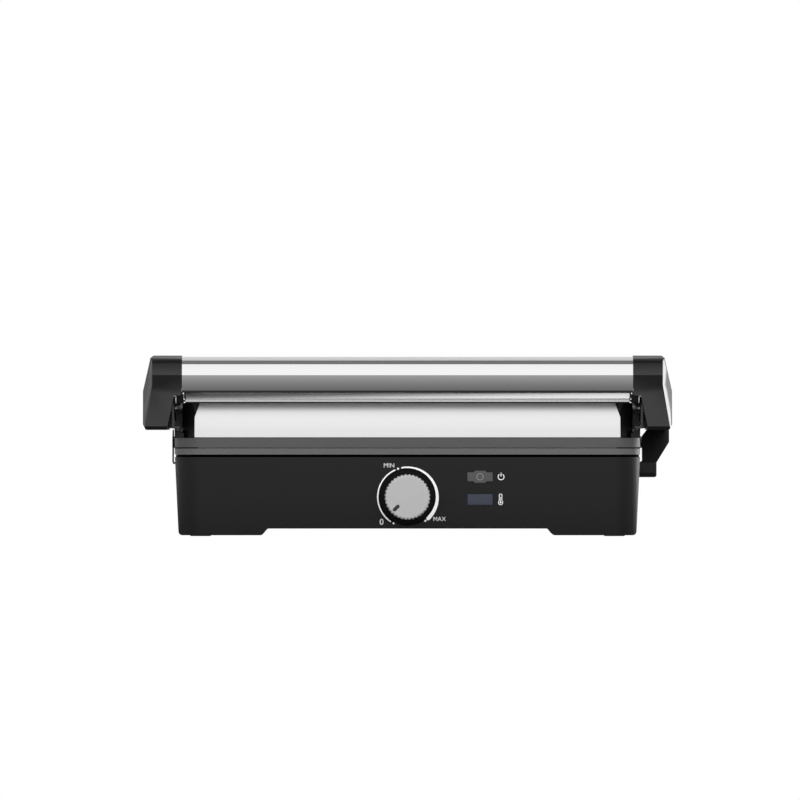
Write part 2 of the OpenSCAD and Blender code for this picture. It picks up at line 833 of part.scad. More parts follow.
// Webs that stiffen an arm and close the view along it, on both sides of the arm plate.
module arm_webs() {
    for (y = [web_front, web_back]) {
        box(arm_in, plate_in - slack, y, y + arm_wall, arm_bottom, lip_z + 1);
        box(plate_out + slack, arm_in + 14, y, y + arm_wall, arm_bottom + 1, lip_z + 1);
    }
}

// The hollow inside an arm cover, open towards the lid.
module arm_hollow() {
    difference() {
        union() {
            arm_block(arm_wall);
            along_x(arm_in - 1, arm_out - arm_lean - 4) {
                polygon([[arm_front + 3, arm_bottom + arm_wall], [arm_front + 3, lip_z],
                    [hinge_y - 86, lip_z], [hinge_y - 20, grip_top - 36],
                    [hinge_y, grip_top - 44], [hinge_y, arm_bottom + arm_wall]]);
            }
        }
        arm_bosses(4, plate_out + seat, arm_out);
        // Solid end behind the handle
        box(arm_in, arm_in + 8, grip_front, grip_front + grip_d + 3, lip_z, grip_top);
    }
}

module arm_cover() {
    difference() {
        union() {
            difference() {
                arm_block(0);
                arm_hollow();
            }
            arm_webs();
        }
        rod_x(barrel_r + 1, 0, far, hinge_y, hinge_z);
        arm_bosses(screw_r, plate_out - 1, plate_out + 9);
        rod_x(screw_r + 0.5, 0, arm_in + 9, handle_screw_y, handle_screw_z);
    }
}

module left_arm_cover() color("#2a2a2c") mirror([1, 0, 0]) arm_cover();

module right_arm_cover() color("#2a2a2c") {
    difference() {
        union() {
            arm_cover();
            // Seat of the release spring
            box(arm_out - 12, arm_out - 3, slide_y - 24, slide_y - 22 - seat * 2, slide_z - 3.5,
                slide_z + 3.5);
        }
        // Slot for the release slide's neck
        box(arm_out - 8, arm_out + 1, slide_y - slide_travel - 4 - slack, slide_y + 4 + slack,
            slide_z - 2 - slack, slide_z + 2 + slack);
    }
}

module arm_plate() {
    difference() {
        union() {
            along_x(plate_in, plate_out) {
                hull() {
                    translate([hinge_y, hinge_z]) circle(r = hinge_end_r);
                    translate([bend_y, bend_z]) circle(r = 5);
                }
                hull() {
                    translate([bend_y, bend_z]) circle(r = 5);
                    translate([pivot_y, pivot_z]) circle(r = 7.5);
                    translate([arm_front + 12, pivot_z]) circle(r = 6);
                }
                translate([arm_front + 6, flange_z]) {
                    square([stop_back - arm_front - 6, pivot_z - arm_bottom]);
                }
            }
            // Flange over the lid's float stop
            box(arm_in + 1.3, plate_out, arm_front + 6, stop_back, flange_z, flange_z + 1.6);
        }
        rod_x(hinge_pin_r + pin_fit, 0, far, hinge_y, hinge_z);
        rod_x(pivot_r + pin_fit, 0, far, pivot_y, pivot_z);
        arm_bosses(screw_r + pin_fit, 0, far);
    }
}

module left_arm_plate() color("#1c1c1e") mirror([1, 0, 0]) arm_plate();

module right_arm_plate() color("#1c1c1e") arm_plate();

module arm_screws() color("#8f8f92") pair() {
    arm_bosses(screw_r - pin_fit, plate_in - 0.3, plate_out + 8);
    arm_bosses(3, plate_in - 1.8, plate_in - seat);
}

module handle_bar() color("#c9cacc") {
    along_x(-arm_in + seat, arm_in - seat) difference() {
        offset(delta = -grip_proud) grip_section();
        offset(delta = -grip_proud - sheet_t) grip_section();
    }
}

module handle_core() color("#202022") {
    difference() {
        along_x(-arm_in + seat, arm_in - seat) {
            offset(delta = -grip_proud - sheet_t - seat) grip_section();
        }
        pair() rod_x(screw_r, arm_in - 14, arm_in, handle_screw_y, handle_screw_z);
    }
}

module handle_screws() color("#8f8f92") pair() {
    rod_x(screw_r - pin_fit, arm_in - 13, arm_in + 8.3, handle_screw_y, handle_screw_z);
    rod_x(3, arm_in + 8 + seat, arm_in + 10, handle_screw_y, handle_screw_z);
}

// A thumb slide on the right arm frees the hinge so that the lid can go past upright.
module release_slide() color("#3a3a3c") {
    x = arm_out - 1.1;
    box(x, x + 1, slide_y - 9, slide_y + 9, slide_z - 6, slide_z + 6);
    box(x - 7, x + 0.1, slide_y - 4, slide_y + 4, slide_z - 2, slide_z + 2);
    box(x - 10, x - 6.9, slide_y - 6, slide_y + 14, slide_z - 3.5, slide_z + 3.5);
}

module release_spring() color("#9a9ca0") {
    difference() {
        rod_y(spring_r, slide_y - 6 - seat - spring_l, slide_y - 6 - seat, spring_x, slide_z);
        rod_y(spring_r - 0.9, slide_y - 30, slide_y, spring_x, slide_z);
    }
}

// ---- lid ----

// The lid's side outline in (y, z); its front leans back along one arc.
module lid_outline(inset) {
    y = front_y + inset;
    r = panel_r - inset;
    difference() {
        translate([y, frame_z]) square([lid_back - y, lid_frame_h]);
        difference() {
            translate([y - 1, frame_z + 4.5]) square([panel_r / 2 + 1, lid_frame_h]);
            translate([y + r, frame_z + 4.5]) circle(r = r, $fn = 96);
            translate([y + panel_r / 2, frame_z]) square([panel_r, lid_frame_h + 5]);
        }
    }
}

module front_slope(half) {
    z = frame_z + panel_shoulder;
    polygon([[-half, 0], [-half, z], [3.5 - half, frame_top + 0.1], [half - 3.5, frame_top + 0.1],
        [half, z], [half, 0]]);
}

module lid_block(inset, z0, z1) {
    intersection() {
        slab(lid_half - inset, front_y + inset, lid_back - inset, base_corner - 3 - inset, z0, z1);
        along_x(-far, far) lid_outline(inset);
    }
}

module lid_frame() color("#1f1f21") {
    skin = sheet_t + 0.2;
    difference() {
        union() {
            difference() {
                lid_block(0, frame_z, frame_top);
                slab(lid_half - lid_wall, front_y + 9, lid_back - lid_wall, base_corner - 6,
                    frame_z - 1, frame_top + 1);
            }
            pair() {
                // Float stop and pivot boss
                box(arm_in + 1, stop_half, stop_front, stop_back, frame_z, arm_bottom);
                box(lid_half - 1, arm_in + 2, stop_front, stop_back, frame_z, frame_z + 3);
                rod_x(6, lid_half - lid_wall - 4, lid_half - 1, pivot_y, pivot_z - 3);
            }
        }
        // Seat for the steel front panel
        intersection() {
            along_x(-far, far) difference() {
                translate([front_y - 1, frame_z - 1]) square([20, lid_frame_h + 2]);
                lid_outline(skin);
            }
            along_y(-far, front_y + 8) front_slope(panel_half + 0.2);
        }
        pair() rod_x(pivot_r + pin_fit, lid_half - 12, far, pivot_y, pivot_z);
    }
}

module lid_front_panel() color("#d7d8da") {
    intersection() {
        along_x(-panel_half, panel_half) difference() {
            lid_outline(0);
            lid_outline(sheet_t);
            translate([front_y + 8, 0]) square([far, far]);
        }
        along_y(-far, far) front_slope(panel_half);
    }
}

// The top cover's outer or inner block: rounded sides and front, and a slight crown.
module cover_block(inset) {
    z0 = lid_cover_z - (inset > 0 ? 1 : 0);
    z1 = lid_cover_top - inset;
    half = lid_half - 0.5 - inset;
    y0 = cover_front + inset;
    y1 = lid_back - inset;
    steps = 8;
    drop = cover_h - 0.7 - inset * 0.5;
    intersection() {
        along_y(-far, far) polygon(concat([[half, z0], [half, z1 - drop]],
            [for (i = [1:steps]) [half - 12 * (1 - cos(i * 90 / steps)),
                z1 - drop + drop * sin(i * 90 / steps)]],
            [[0, z1 + crown_h]],
            [for (i = [steps:-1:1]) [12 * (1 - cos(i * 90 / steps)) - half,
                z1 - drop + drop * sin(i * 90 / steps)]],
            [[-half, z1 - drop], [-half, z0]]));
        along_x(-far, far) polygon(concat([[y0, z0], [y0, z1 - drop * 0.7]],
            [for (i = [1:steps]) [y0 + 7 * (1 - cos(i * 90 / steps)),
                z1 - drop * 0.7 + drop * 0.7 * sin(i * 90 / steps)]],
            [[(y0 + y1) / 2, z1 + crown_h], [y1 - 8, z1], [y1, z1 - drop], [y1, z0]]));
        slab(half, y0, y1, cover_corner - inset, z0, z1 + crown_h + 1);
    }
}

module lid_top_cover() color("#d2d3d5") {
    difference() {
        cover_block(0);
        cover_block(sheet_t);
    }
    rod_x(bead_r, 14 - lid_half, lid_half - 14, cover_front + bead_r, lid_cover_z + bead_r);
}

module upper_plate() color("#525254") {
    difference() {
        union() {
            slab(base_half, front_y, lid_back, base_corner, part_z + slack + seat, upper_rim_z);
            slab(lid_half - lid_wall - 1, front_y + 13, lid_back - lid_wall - 1, base_corner - 7,
                upper_rim_z - 1, upper_slab_z + slab_t);
            four(column_x, column_front, column_back) cylinder_boss(upper_slab_z + slab_t - 0.5, 8);
        }
        slab(base_half - rim_w - 4, front_y + rim_w + 8, lid_back - rim_w - 8, base_corner - 9,
            part_z - 1, upper_slab_z);
        four(column_x, column_front, column_back) {
            translate([0, 0, upper_slab_z + slab_t]) cylinder(r = screw_r, h = 9);
        }
    }
    ribs(upper_slab_z - upper_rib_h, upper_slab_z + 0.1);
}

module cylinder_boss(z, h) {
    translate([0, 0, z]) cylinder(r = 4, h = h);
}

module upper_element() color("#77726c") {
    element(upper_slab_z + slab_t + element_r + seat, 1, 5);
}

module upper_reflector() color("#a9abae") {
    difference() {
        slab(lid_half - lid_wall - 5, front_y + 16, lid_back - lid_wall - 5, 8, upper_pan_z,
            upper_pan_z + reflector_t);
        four(column_x, column_front, column_back) cylinder(r = screw_r + pin_fit, h = far);
        tail_holes();
    }
}

module upper_plate_screws() color("#8f8f92") {
    four(column_x, column_front, column_back) {
        translate([0, 0, upper_pan_z - 5]) cylinder(r = screw_r - pin_fit, h = 6.2);
        translate([0, 0, upper_pan_z + reflector_t + seat]) cylinder(r = 3, h = 1.6);
    }
}

module upper_cutout() color("#d8d2c4") {
    translate([cutout_x, 0, upper_pan_z + reflector_t + seat]) cylinder(r = cutout_r, h = 6);
}

module pivot_pins() color("#9a9ca0") pair() {
    rod_x(pivot_r, lid_half - 8, plate_out + 1.8, pivot_y, pivot_z);
}

module pivot_sleeves() color("#bdbdbf") pair() {
    difference() {
        rod_x(pivot_r + 0.8, lid_half + seat, plate_in - 0.2, pivot_y, pivot_z);
        rod_x(pivot_r + pin_fit, lid_half - 1, plate_in + 1, pivot_y, pivot_z);
    }
}

base_shell();
bottom_cover();
rubber_pads();
base_screws();
lower_plate();
lower_element();
lower_reflector();
plate_screws();
thermostat();
shaft_nut();
knob_shaft();
control_knob();
knob_pointer();
power_window();
heat_window();
lamps();
lamp_board();
thermal_cutout();
terminal_block();
cord_gland();
drip_tray();
right_hinge_housing();
left_hinge_bracket();
hinge_pins();
hinge_bushes();
thrust_washers();
housing_screws();
left_arm_cover();
right_arm_cover();
left_arm_plate();
right_arm_plate();
handle_bar();
handle_core();
handle_screws();
arm_screws();
release_slide();
release_spring();
lid_frame();
lid_front_panel();
lid_top_cover();
upper_plate();
upper_element();
upper_reflector();
upper_cutout();
pivot_pins();
pivot_sleeves();
upper_plate_screws();
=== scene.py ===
import json
from math import atan2, cos, degrees, hypot, pi, radians, sin, sqrt, tan

import bmesh
import bpy
from mathutils import Matrix, Vector


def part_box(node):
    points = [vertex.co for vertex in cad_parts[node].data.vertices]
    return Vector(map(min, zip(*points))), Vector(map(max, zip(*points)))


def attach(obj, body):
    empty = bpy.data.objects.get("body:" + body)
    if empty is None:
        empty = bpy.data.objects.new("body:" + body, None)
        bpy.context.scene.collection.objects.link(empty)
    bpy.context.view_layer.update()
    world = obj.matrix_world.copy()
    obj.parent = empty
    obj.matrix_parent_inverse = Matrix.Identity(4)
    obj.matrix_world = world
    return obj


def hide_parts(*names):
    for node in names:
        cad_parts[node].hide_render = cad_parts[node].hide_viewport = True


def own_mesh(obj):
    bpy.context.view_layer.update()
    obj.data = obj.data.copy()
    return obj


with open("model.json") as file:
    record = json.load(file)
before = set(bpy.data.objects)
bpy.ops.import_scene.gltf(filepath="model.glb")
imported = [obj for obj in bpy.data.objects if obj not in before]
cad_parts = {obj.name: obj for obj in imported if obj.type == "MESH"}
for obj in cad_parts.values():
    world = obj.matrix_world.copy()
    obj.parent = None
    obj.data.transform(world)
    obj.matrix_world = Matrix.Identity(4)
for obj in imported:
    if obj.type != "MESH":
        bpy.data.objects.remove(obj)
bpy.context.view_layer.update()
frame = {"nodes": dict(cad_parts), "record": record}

# Sizes below are in millimetres. MM turns them into Blender's metres.
MM = 0.001


# ---- places read from the frame ----

def box_mm(node):
    """Lowest and highest corner of a CAD node, in millimetres."""
    low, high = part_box(node)
    return low / MM, high / MM


shell_low, shell_high = box_mm("base_shell")
bar_low, bar_high = box_mm("handle_bar")
panel_low, panel_high = box_mm("lid_front_panel")
cover_low, cover_high = box_mm("lid_top_cover")
knob_low, knob_high = box_mm("control_knob")
power_low, power_high = box_mm("power_window")
heat_low, heat_high = box_mm("heat_window")
spring_low, spring_high = box_mm("release_spring")
arm_low, arm_high = box_mm("right_arm_cover")
lid_frame_top = box_mm("lid_frame")[1].z
lower_plate_top = box_mm("lower_plate")[1].z

front_y = shell_low.y
rear_y = shell_high.y
base_half = shell_high.x
knob_z = (knob_low.z + knob_high.z) / 2
knob_r = (knob_high.x - knob_low.x) / 2
grip_front = arm_low.y
grip_top = arm_high.z

# Below these heights the upright faces of the plates take a painted shade, which darkens the gaps
# between and under the plate rims.
upper_plate_shaded_below = lower_plate_top + 0.8
lower_plate_shaded_below = lower_plate_top - 4.05


# ---- camera ----

def front_camera():
    """A level view from the front, from so far away that it is nearly parallel."""
    # The middle of the picture, and the width that it spans there.
    aim_x, aim_z = -4.96, 90.1
    frame_width, distance = 529.3, 24000
    data = bpy.data.cameras.new("front_camera")
    camera = bpy.data.objects.new("front_camera", data)
    bpy.context.scene.collection.objects.link(camera)
    camera.location = Vector((aim_x, front_y - distance, aim_z)) * MM
    camera.rotation_euler = (radians(90), 0, 0)
    data.sensor_width = 36
    data.lens = data.sensor_width * distance / frame_width
    data.clip_start = 1
    data.clip_end = 200
    bpy.context.scene.camera = camera


# ---- node helpers ----

class Nodes:
    """A short way to add linked nodes to one node tree."""

    def __init__(self, tree):
        self.tree = tree

    def add(self, kind, inputs=None, **settings):
        node = self.tree.nodes.new(kind)
        for name, value in settings.items():
            setattr(node, name, value)
        for name, value in (inputs or {}).items():
            self.set(node, name, value)
        return node

    def set(self, node, name, value):
        socket = node.inputs[name]
        if isinstance(value, bpy.types.NodeSocket):
            self.tree.links.new(value, socket)
        else:
            socket.default_value = value

    def math(self, operation, a, b=0.0):
        node = self.add("ShaderNodeMath", operation=operation)
        self.set(node, 0, a)
        self.set(node, 1, b)
        return node.outputs[0]

    def blend(self, factor, a, b):
        """A mix of two colours, which are inputs 6 and 7 of the node in its colour mode."""
        node = self.add("ShaderNodeMix", data_type="RGBA")
        self.set(node, 0, factor)
        self.set(node, 6, a)
        self.set(node, 7, b)
        return node.outputs[2]

    def noise(self, place, scale, detail):
        node = self.add("ShaderNodeTexNoise", {"Vector": place, "Scale": scale, "Detail": detail})
        return node.outputs["Fac"]

    def stretched(self, place, scale):
        return self.add("ShaderNodeMapping", {"Vector": place, "Scale": scale}).outputs[0]

    def brighten(self, colour, shift):
        """A colour made lighter by a share of itself."""
        value = self.math("ADD", 1.0, shift)
        return self.add("ShaderNodeHueSaturation", {"Value": value, "Color": colour}).outputs["Color"]

    def xyz(self, vector):
        return self.add("ShaderNodeSeparateXYZ", {"Vector": vector}).outputs

    def ramp(self, factor, stops):
        """A smooth ramp from (position, grey or colour) stops."""
        node = self.add("ShaderNodeValToRGB", {"Fac": factor})
        elements = node.color_ramp.elements
        elements.remove(elements[1])
        elements[0].position, elements[0].color = stops[0][0], rgba(stops[0][1])
        for position, colour in stops[1:]:
            elements.new(position).color = rgba(colour)
        return node.outputs["Color"]


def rgba(colour):
    if isinstance(colour, (int, float)):
        colour = (colour, colour, colour)
    return (*colour, 1.0)


def node_group(name, inputs, outputs):
    """An empty shader group with named sockets. Inputs are (name, kind, value)."""
    tree = bpy.data.node_groups.new(name, "ShaderNodeTree")
    sockets = tree.interface
    for socket_name, kind, value in inputs:
        socket = sockets.new_socket(socket_name, in_out="INPUT", socket_type="NodeSocket" + kind)
        socket.default_value = value
    for socket_name, kind in outputs:
        sockets.new_socket(socket_name, in_out="OUTPUT", socket_type="NodeSocket" + kind)
    n = Nodes(tree)
    return tree, n, n.add("NodeGroupInput").outputs, n.add("NodeGroupOutput")


# ---- shared effects ----

def moulded_grain_group():
    """The fine spark-eroded grain of moulded plastic, with slow patches of wear in its gloss."""
    tree, n, given, out = node_group(
        "moulded_grain",
        [("Grain size", "Float", 0.0004), ("Colour", "Color", rgba(0.02)), ("Roughness", "Float", 0.4),
         ("Unevenness", "Float", 0.06)],
        [("Colour", "Color"), ("Roughness", "Float"), ("Height", "Float")])
    patches_per_metre, speck_contrast = 28.0, 0.10
    place = n.add("ShaderNodeTexCoord").outputs["Object"]
    grain = n.noise(place, n.math("DIVIDE", 1.0, given["Grain size"]), 2.0)
    patches = n.noise(place, patches_per_metre, 4.0)
    shift = n.math("MULTIPLY", n.math("SUBTRACT", patches, 0.5), given["Unevenness"])
    speck = n.math("MULTIPLY", n.math("SUBTRACT", grain, 0.5), speck_contrast)
    n.set(out, "Colour", n.brighten(given["Colour"], n.math("ADD", shift, speck)))
    n.set(out, "Roughness", n.math("ADD", given["Roughness"], shift))
    n.set(out, "Height", grain)
    return tree


def brushed_streaks_group():
    """Long fine scratches along X, as a belt leaves them on sheet steel."""
    tree, n, given, out = node_group(
        "brushed_streaks",
        [("Colour", "Color", rgba(0.8)), ("Roughness", "Float", 0.2), ("Depth", "Float", 0.08)],
        [("Colour", "Color"), ("Roughness", "Float"), ("Height", "Float")])
    # Streaks to the metre, few along X and many across it.
    fine_scratches, wide_scratches = (6.0, 2600.0, 2600.0), (2.0, 420.0, 420.0)
    place = n.add("ShaderNodeTexCoord").outputs["Object"]
    fine = n.noise(n.stretched(place, fine_scratches), 1.0, 3.0)
    wide = n.noise(n.stretched(place, wide_scratches), 1.0, 2.0)
    both = n.math("ADD", n.math("MULTIPLY", fine, 0.5), n.math("MULTIPLY", wide, 0.5))
    shift = n.math("MULTIPLY", n.math("SUBTRACT", both, 0.5), given["Depth"])
    n.set(out, "Colour", n.brighten(given["Colour"], shift))
    n.set(out, "Roughness", n.math("ADD", given["Roughness"], shift))
    n.set(out, "Height", fine)
    return tree


def cast_speckle_group():
    """The stony speckle of a sprayed non-stick coat over cast aluminium, with painted shade on low
    upright faces.
    """
    tree, n, given, out = node_group(
        "cast_speckle",
        [("Colour", "Color", rgba(0.08)), ("Fleck", "Color", rgba(0.16)), ("Roughness", "Float", 0.4),
         ("Bare below", "Float", 0.0)],
        [("Colour", "Color"), ("Roughness", "Float"), ("Height", "Float"), ("Gloss", "Float")])
    pores_per_metre, flecks_per_metre = 900.0, 700.0
    # The near-black below is painted shade for the gaps between and under the plate rims.
    level_face, painted_gap_shade, coat_gloss, pore_roughness = 0.97, 0.006, 0.5, 0.08
    texture = n.add("ShaderNodeTexCoord").outputs
    place = texture["Object"]
    # Below a height the upright faces take a near-black painted shade instead of the coating, to darken
    # the gaps between and under the plate rims.
    level = n.math("GREATER_THAN", n.math("ABSOLUTE", n.xyz(texture["Normal"])["Z"]), level_face)
    outside_gap_shade = n.math("MAXIMUM", level, n.math("GREATER_THAN", n.xyz(place)["Z"], given["Bare below"]))
    pores = n.noise(place, pores_per_metre, 4.0)
    cells = n.add("ShaderNodeTexVoronoi", {"Vector": place, "Scale": flecks_per_metre})
    flecks = n.ramp(cells.outputs["Distance"], [(0.0, 0.35), (0.18, 0.0)])
    speckled = n.blend(flecks, given["Colour"], given["Fleck"])
    n.set(out, "Colour", n.blend(outside_gap_shade, rgba(painted_gap_shade), speckled))
    rougher = n.math("MULTIPLY", pores, pore_roughness)
    n.set(out, "Roughness", n.math("ADD", given["Roughness"], rougher))
    n.set(out, "Height", pores)
    n.set(out, "Gloss", n.math("MULTIPLY", outside_gap_shade, coat_gloss))
    return tree


MOULDED_GRAIN = moulded_grain_group()
BRUSHED_STREAKS = brushed_streaks_group()
CAST_SPECKLE = cast_speckle_group()


# ---- materials ----

BUMP_DEPTH = 0.02 * MM


def finish(name, group, group_inputs, bump, **shader):
    """One material: a shared effect feeding colour, roughness and bump of its own shader."""
    material = bpy.data.materials.new(name)
    material.use_nodes = True
    tree = material.node_tree
    n = Nodes(tree)
    surface = tree.nodes["Principled BSDF"]
    effect = n.add("ShaderNodeGroup", node_tree=group)
    for socket_name, value in group_inputs.items():
        effect.inputs[socket_name].default_value = value
    n.set(surface, "Base Color", effect.outputs["Colour"])
    n.set(surface, "Roughness", effect.outputs["Roughness"])
    if "Gloss" in effect.outputs:
        n.set(surface, "Specular IOR Level", effect.outputs["Gloss"])
    relief = n.add("ShaderNodeBump", {"Height": effect.outputs["Height"], "Strength": bump,
                                      "Distance": BUMP_DEPTH})
    n.set(surface, "Normal", relief.outputs["Normal"])
    for socket_name, value in shader.items():
        surface.inputs[socket_name.replace("_", " ")].default_value = value
    return material


def moulded(name, colour, roughness, grain=0.0004, bump=0.25, uneven=0.05, **shader):
    """A moulded surface. Its grain is the size of a speck in metres."""
    return finish(name, MOULDED_GRAIN, {"Colour": rgba(colour), "Roughness": roughness,
                                        "Grain size": grain, "Unevenness": uneven}, bump, **shader)


def printed(name, colour):
    return moulded(name, colour, 0.55, bump=0.05, uneven=0.02, Specular_IOR_Level=0.2)


def lens(name, colour, roughness):
    return moulded(name, colour, roughness, bump=0.05, uneven=0.02, Specular_IOR_Level=0.5,
                   Coat_Weight=0.3)


def brushed(name, colour, roughness, depth=0.06, bump=0.12):
    return finish(name, BRUSHED_STREAKS, {"Colour": rgba(colour), "Roughness": roughness,
                                          "Depth": depth}, bump, Metallic=1.0)


def cast_coating(name, colour, fleck, shaded_below):
    """The coating of a grill plate, with a painted shade in its place on upright faces below a height
    in millimetres.
    """
    return finish(name, CAST_SPECKLE, {"Colour": rgba(colour), "Fleck": rgba(fleck), "Roughness": 0.36,
                                       "Bare below": shaded_below * MM}, 0.3)


# The finish of each material slot.
FINISHES = {
    "base_plastic": moulded("black_base_plastic", (0.0042, 0.0042, 0.0048), 0.44,
                            Specular_IOR_Level=0.33),
    "arm_plastic": moulded("black_arm_plastic", (0.0030, 0.0030, 0.0034), 0.20, bump=0.03,
                           Specular_IOR_Level=0.66),
    "housing_plastic": moulded("black_housing_plastic", (0.014, 0.014, 0.015), 0.42,
                               Specular_IOR_Level=0.42),
    "rubber": moulded("foot_rubber", 0.012, 0.80, grain=0.0009, bump=0.5, Specular_IOR_Level=0.2),
    "dark_steel": moulded("blackened_steel", 0.045, 0.42, grain=0.0006, Metallic=0.6),
    "steel_fitting": brushed("zinc_plated_steel", (0.55, 0.56, 0.58), 0.32, depth=0.1),
    "brushed_steel": brushed("brushed_steel", (0.94, 0.94, 0.95), 0.22, depth=0.12, bump=0.05),
    "plate_coating": cast_coating("non_stick_coating", 0.060, 0.088, upper_plate_shaded_below),
    "heater_sheath": moulded("heater_sheath", (0.17, 0.145, 0.12), 0.45, grain=0.0007, uneven=0.25,
                             Metallic=0.8),
    "reflector_sheet": brushed("aluminised_sheet", (0.66, 0.67, 0.69), 0.30, depth=0.15),
    "insulator": moulded("fired_ceramic", (0.62, 0.57, 0.48), 0.55, grain=0.0005),
    "brass": moulded("bearing_brass", (0.60, 0.42, 0.17), 0.30, grain=0.0006, bump=0.1,
                     Metallic=1.0),
    "lamp_lens": lens("power_lens", (0.044, 0.044, 0.046), 0.18),
    "heat_lens": lens("heat_lens", (0.008, 0.015, 0.033), 0.15),
    "lamp_glass": moulded("lamp_glass", (0.75, 0.34, 0.15), 0.12, bump=0.05,
                          Transmission_Weight=0.3),
    "board": moulded("circuit_board", (0.03, 0.16, 0.07), 0.35, grain=0.0008),
    "knob_silver": moulded("knob_silver", (0.56, 0.56, 0.565), 0.38, grain=0.0003, bump=0.12,
                           uneven=0.02, Metallic=0.75),
}

# Finishes that differ a little from their slot's.
# A duller, darker finish than the base's, as painted shade in the dish round the knob.
DISH_SHADE_PLASTIC = moulded("dial_dish_painted_shade", (0.004, 0.004, 0.0045), 0.35, bump=0.1,
                       Specular_IOR_Level=0.2)
LOWER_COATING = cast_coating("lower_plate_coating", 0.086, 0.12, lower_plate_shaded_below)
SATIN_STEEL = brushed("satin_steel", (0.93, 0.93, 0.94), 0.32)
SOLE_PLASTIC = moulded("handle_sole_plastic", 0.012, 0.45, Specular_IOR_Level=0.35)
PRINT = printed("white_print", (0.86, 0.86, 0.86))
WORD_PRINT = printed("grey_print", (0.60, 0.60, 0.61))
LAMP_RING = moulded("lamp_ring", (0.19, 0.19, 0.195), 0.3, bump=0.05, uneven=0.02)

# CAD nodes with a finish of their own.
OWN_FINISH = {"lower_plate": LOWER_COATING}


# ---- mesh helpers ----

def piece(name, vertices, faces, body, slot, replaces=(), material=None, smooth=30):
    """A new piece from vertices in millimetres, riding on a CAD body."""
    mesh = bpy.data.meshes.new(name)
    mesh.from_pydata([Vector(v) * MM for v in vertices], [], faces)
    mesh.validate()
    bm = bmesh.new()
    bm.from_mesh(mesh)
    bmesh.ops.remove_doubles(bm, verts=bm.verts, dist=0.001 * MM)
    bmesh.ops.recalc_face_normals(bm, faces=bm.faces)
    bm.to_mesh(mesh)
    bm.free()
    obj = bpy.data.objects.new(name, mesh)
    bpy.context.scene.collection.objects.link(obj)
    mesh.materials.append(material or FINISHES[slot])
    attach(obj, body)
    if replaces:
        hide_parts(*replaces)
    soften(obj, smooth)
    return obj


def soften(obj, angle):
    """Smooth shading, with the edges sharper than the angle kept crisp."""
    mesh = obj.data
    for polygon in mesh.polygons:
        polygon.use_smooth = True
    limit = radians(angle)
    bm = bmesh.new()
    bm.from_mesh(mesh)
    for edge in bm.edges:
        if len(edge.link_faces) == 2:
            edge.smooth = edge.calc_face_angle(0.0) < limit
    bm.to_mesh(mesh)
    bm.free()


def round_edges(obj, width, segments=2, angle=28):
    """Small radii on the edges, as moulded or stamped pieces have."""
    bevel = obj.modifiers.new("edge_radius", "BEVEL")
    bevel.width = width * MM
    bevel.segments = segments
    bevel.limit_method = "ANGLE"
    bevel.angle_limit = radians(angle)
    bevel.use_clamp_overlap = True
    bevel.harden_normals = True
    shade = obj.modifiers.new("even_shading", "WEIGHTED_NORMAL")
    shade.keep_sharp = True


def loft(rings, caps=True):
    """Vertices and faces of a skin over rings with equal numbers of points."""
    count = len(rings[0])
    vertices = [point for ring in rings for point in ring]
    faces = []
    for i in range(len(rings) - 1):
        for j in range(count):
            k = (j + 1) % count
            faces.append((i * count + j, i * count + k, (i + 1) * count + k, (i + 1) * count + j))
    if caps:
        faces.append(tuple(range(count)))
        faces.append(tuple(range((len(rings) - 1) * count, len(rings) * count)))
    return vertices, faces


def joined(*parts):
    """Several (vertices, faces) as one."""
    vertices, faces = [], []
    for part_vertices, part_faces in parts:
        start = len(vertices)
        vertices += list(part_vertices)
        faces += [tuple(i + start for i in face) for face in part_faces]
    return vertices, faces


def inset_outline(points, depth):
    """A convex outline, given anticlockwise, moved in by depth on every side."""
    lines = []
    for (x0, y0), (x1, y1) in zip(points, points[1:] + points[:1]):
        length = hypot(x1 - x0, y1 - y0)
        nx, ny = (y0 - y1) / length, (x1 - x0) / length
        lines.append((nx, ny, nx * x0 + ny * y0 + depth))
    result = []
    for (a, b, c), (d, e, f) in zip(lines[-1:] + lines[:-1], lines):
        det = a * e - b * d
        result.append(((c * e - b * f) / det, (a * f - c * d) / det))
    return result


def rounded(points, radii, steps=5):
    """An outline with each corner replaced by an arc."""
    result = []
    count = len(points)
    for i, radius in enumerate(radii):
        before, corner, after = (Vector(points[(i + k) % count]) for k in (-1, 0, 1))
        u = (before - corner).normalized()
        v = (after - corner).normalized()
        half = u.angle(v) / 2
        reach = radius / tan(half)
        centre = corner + (u + v).normalized() * (radius / sin(half))
        start = corner + u * reach - centre
        turn = (pi - 2 * half) * (-1 if u.cross(v) > 0 else 1)
        for k in range(steps + 1):
            result.append(tuple(centre + Matrix.Rotation(turn * k / steps, 2) @ start))
    return result


def along_x(outline, stations):
    """A bar through x stations, from an outline in (y, z)."""
    return loft([[(x, y, z) for y, z in outline] for x in stations])


def turned_y(profile, x, z, steps, caps=True):
    """A body of revolution about a line along Y, from (radius, y) points."""
    turns = [2 * pi * i / steps for i in range(steps)]
    return loft([[(x + radius * cos(turn), y, z + radius * sin(turn)) for turn in turns]
                 for radius, y in profile], caps)


# ---- the CAD nodes that stay ----

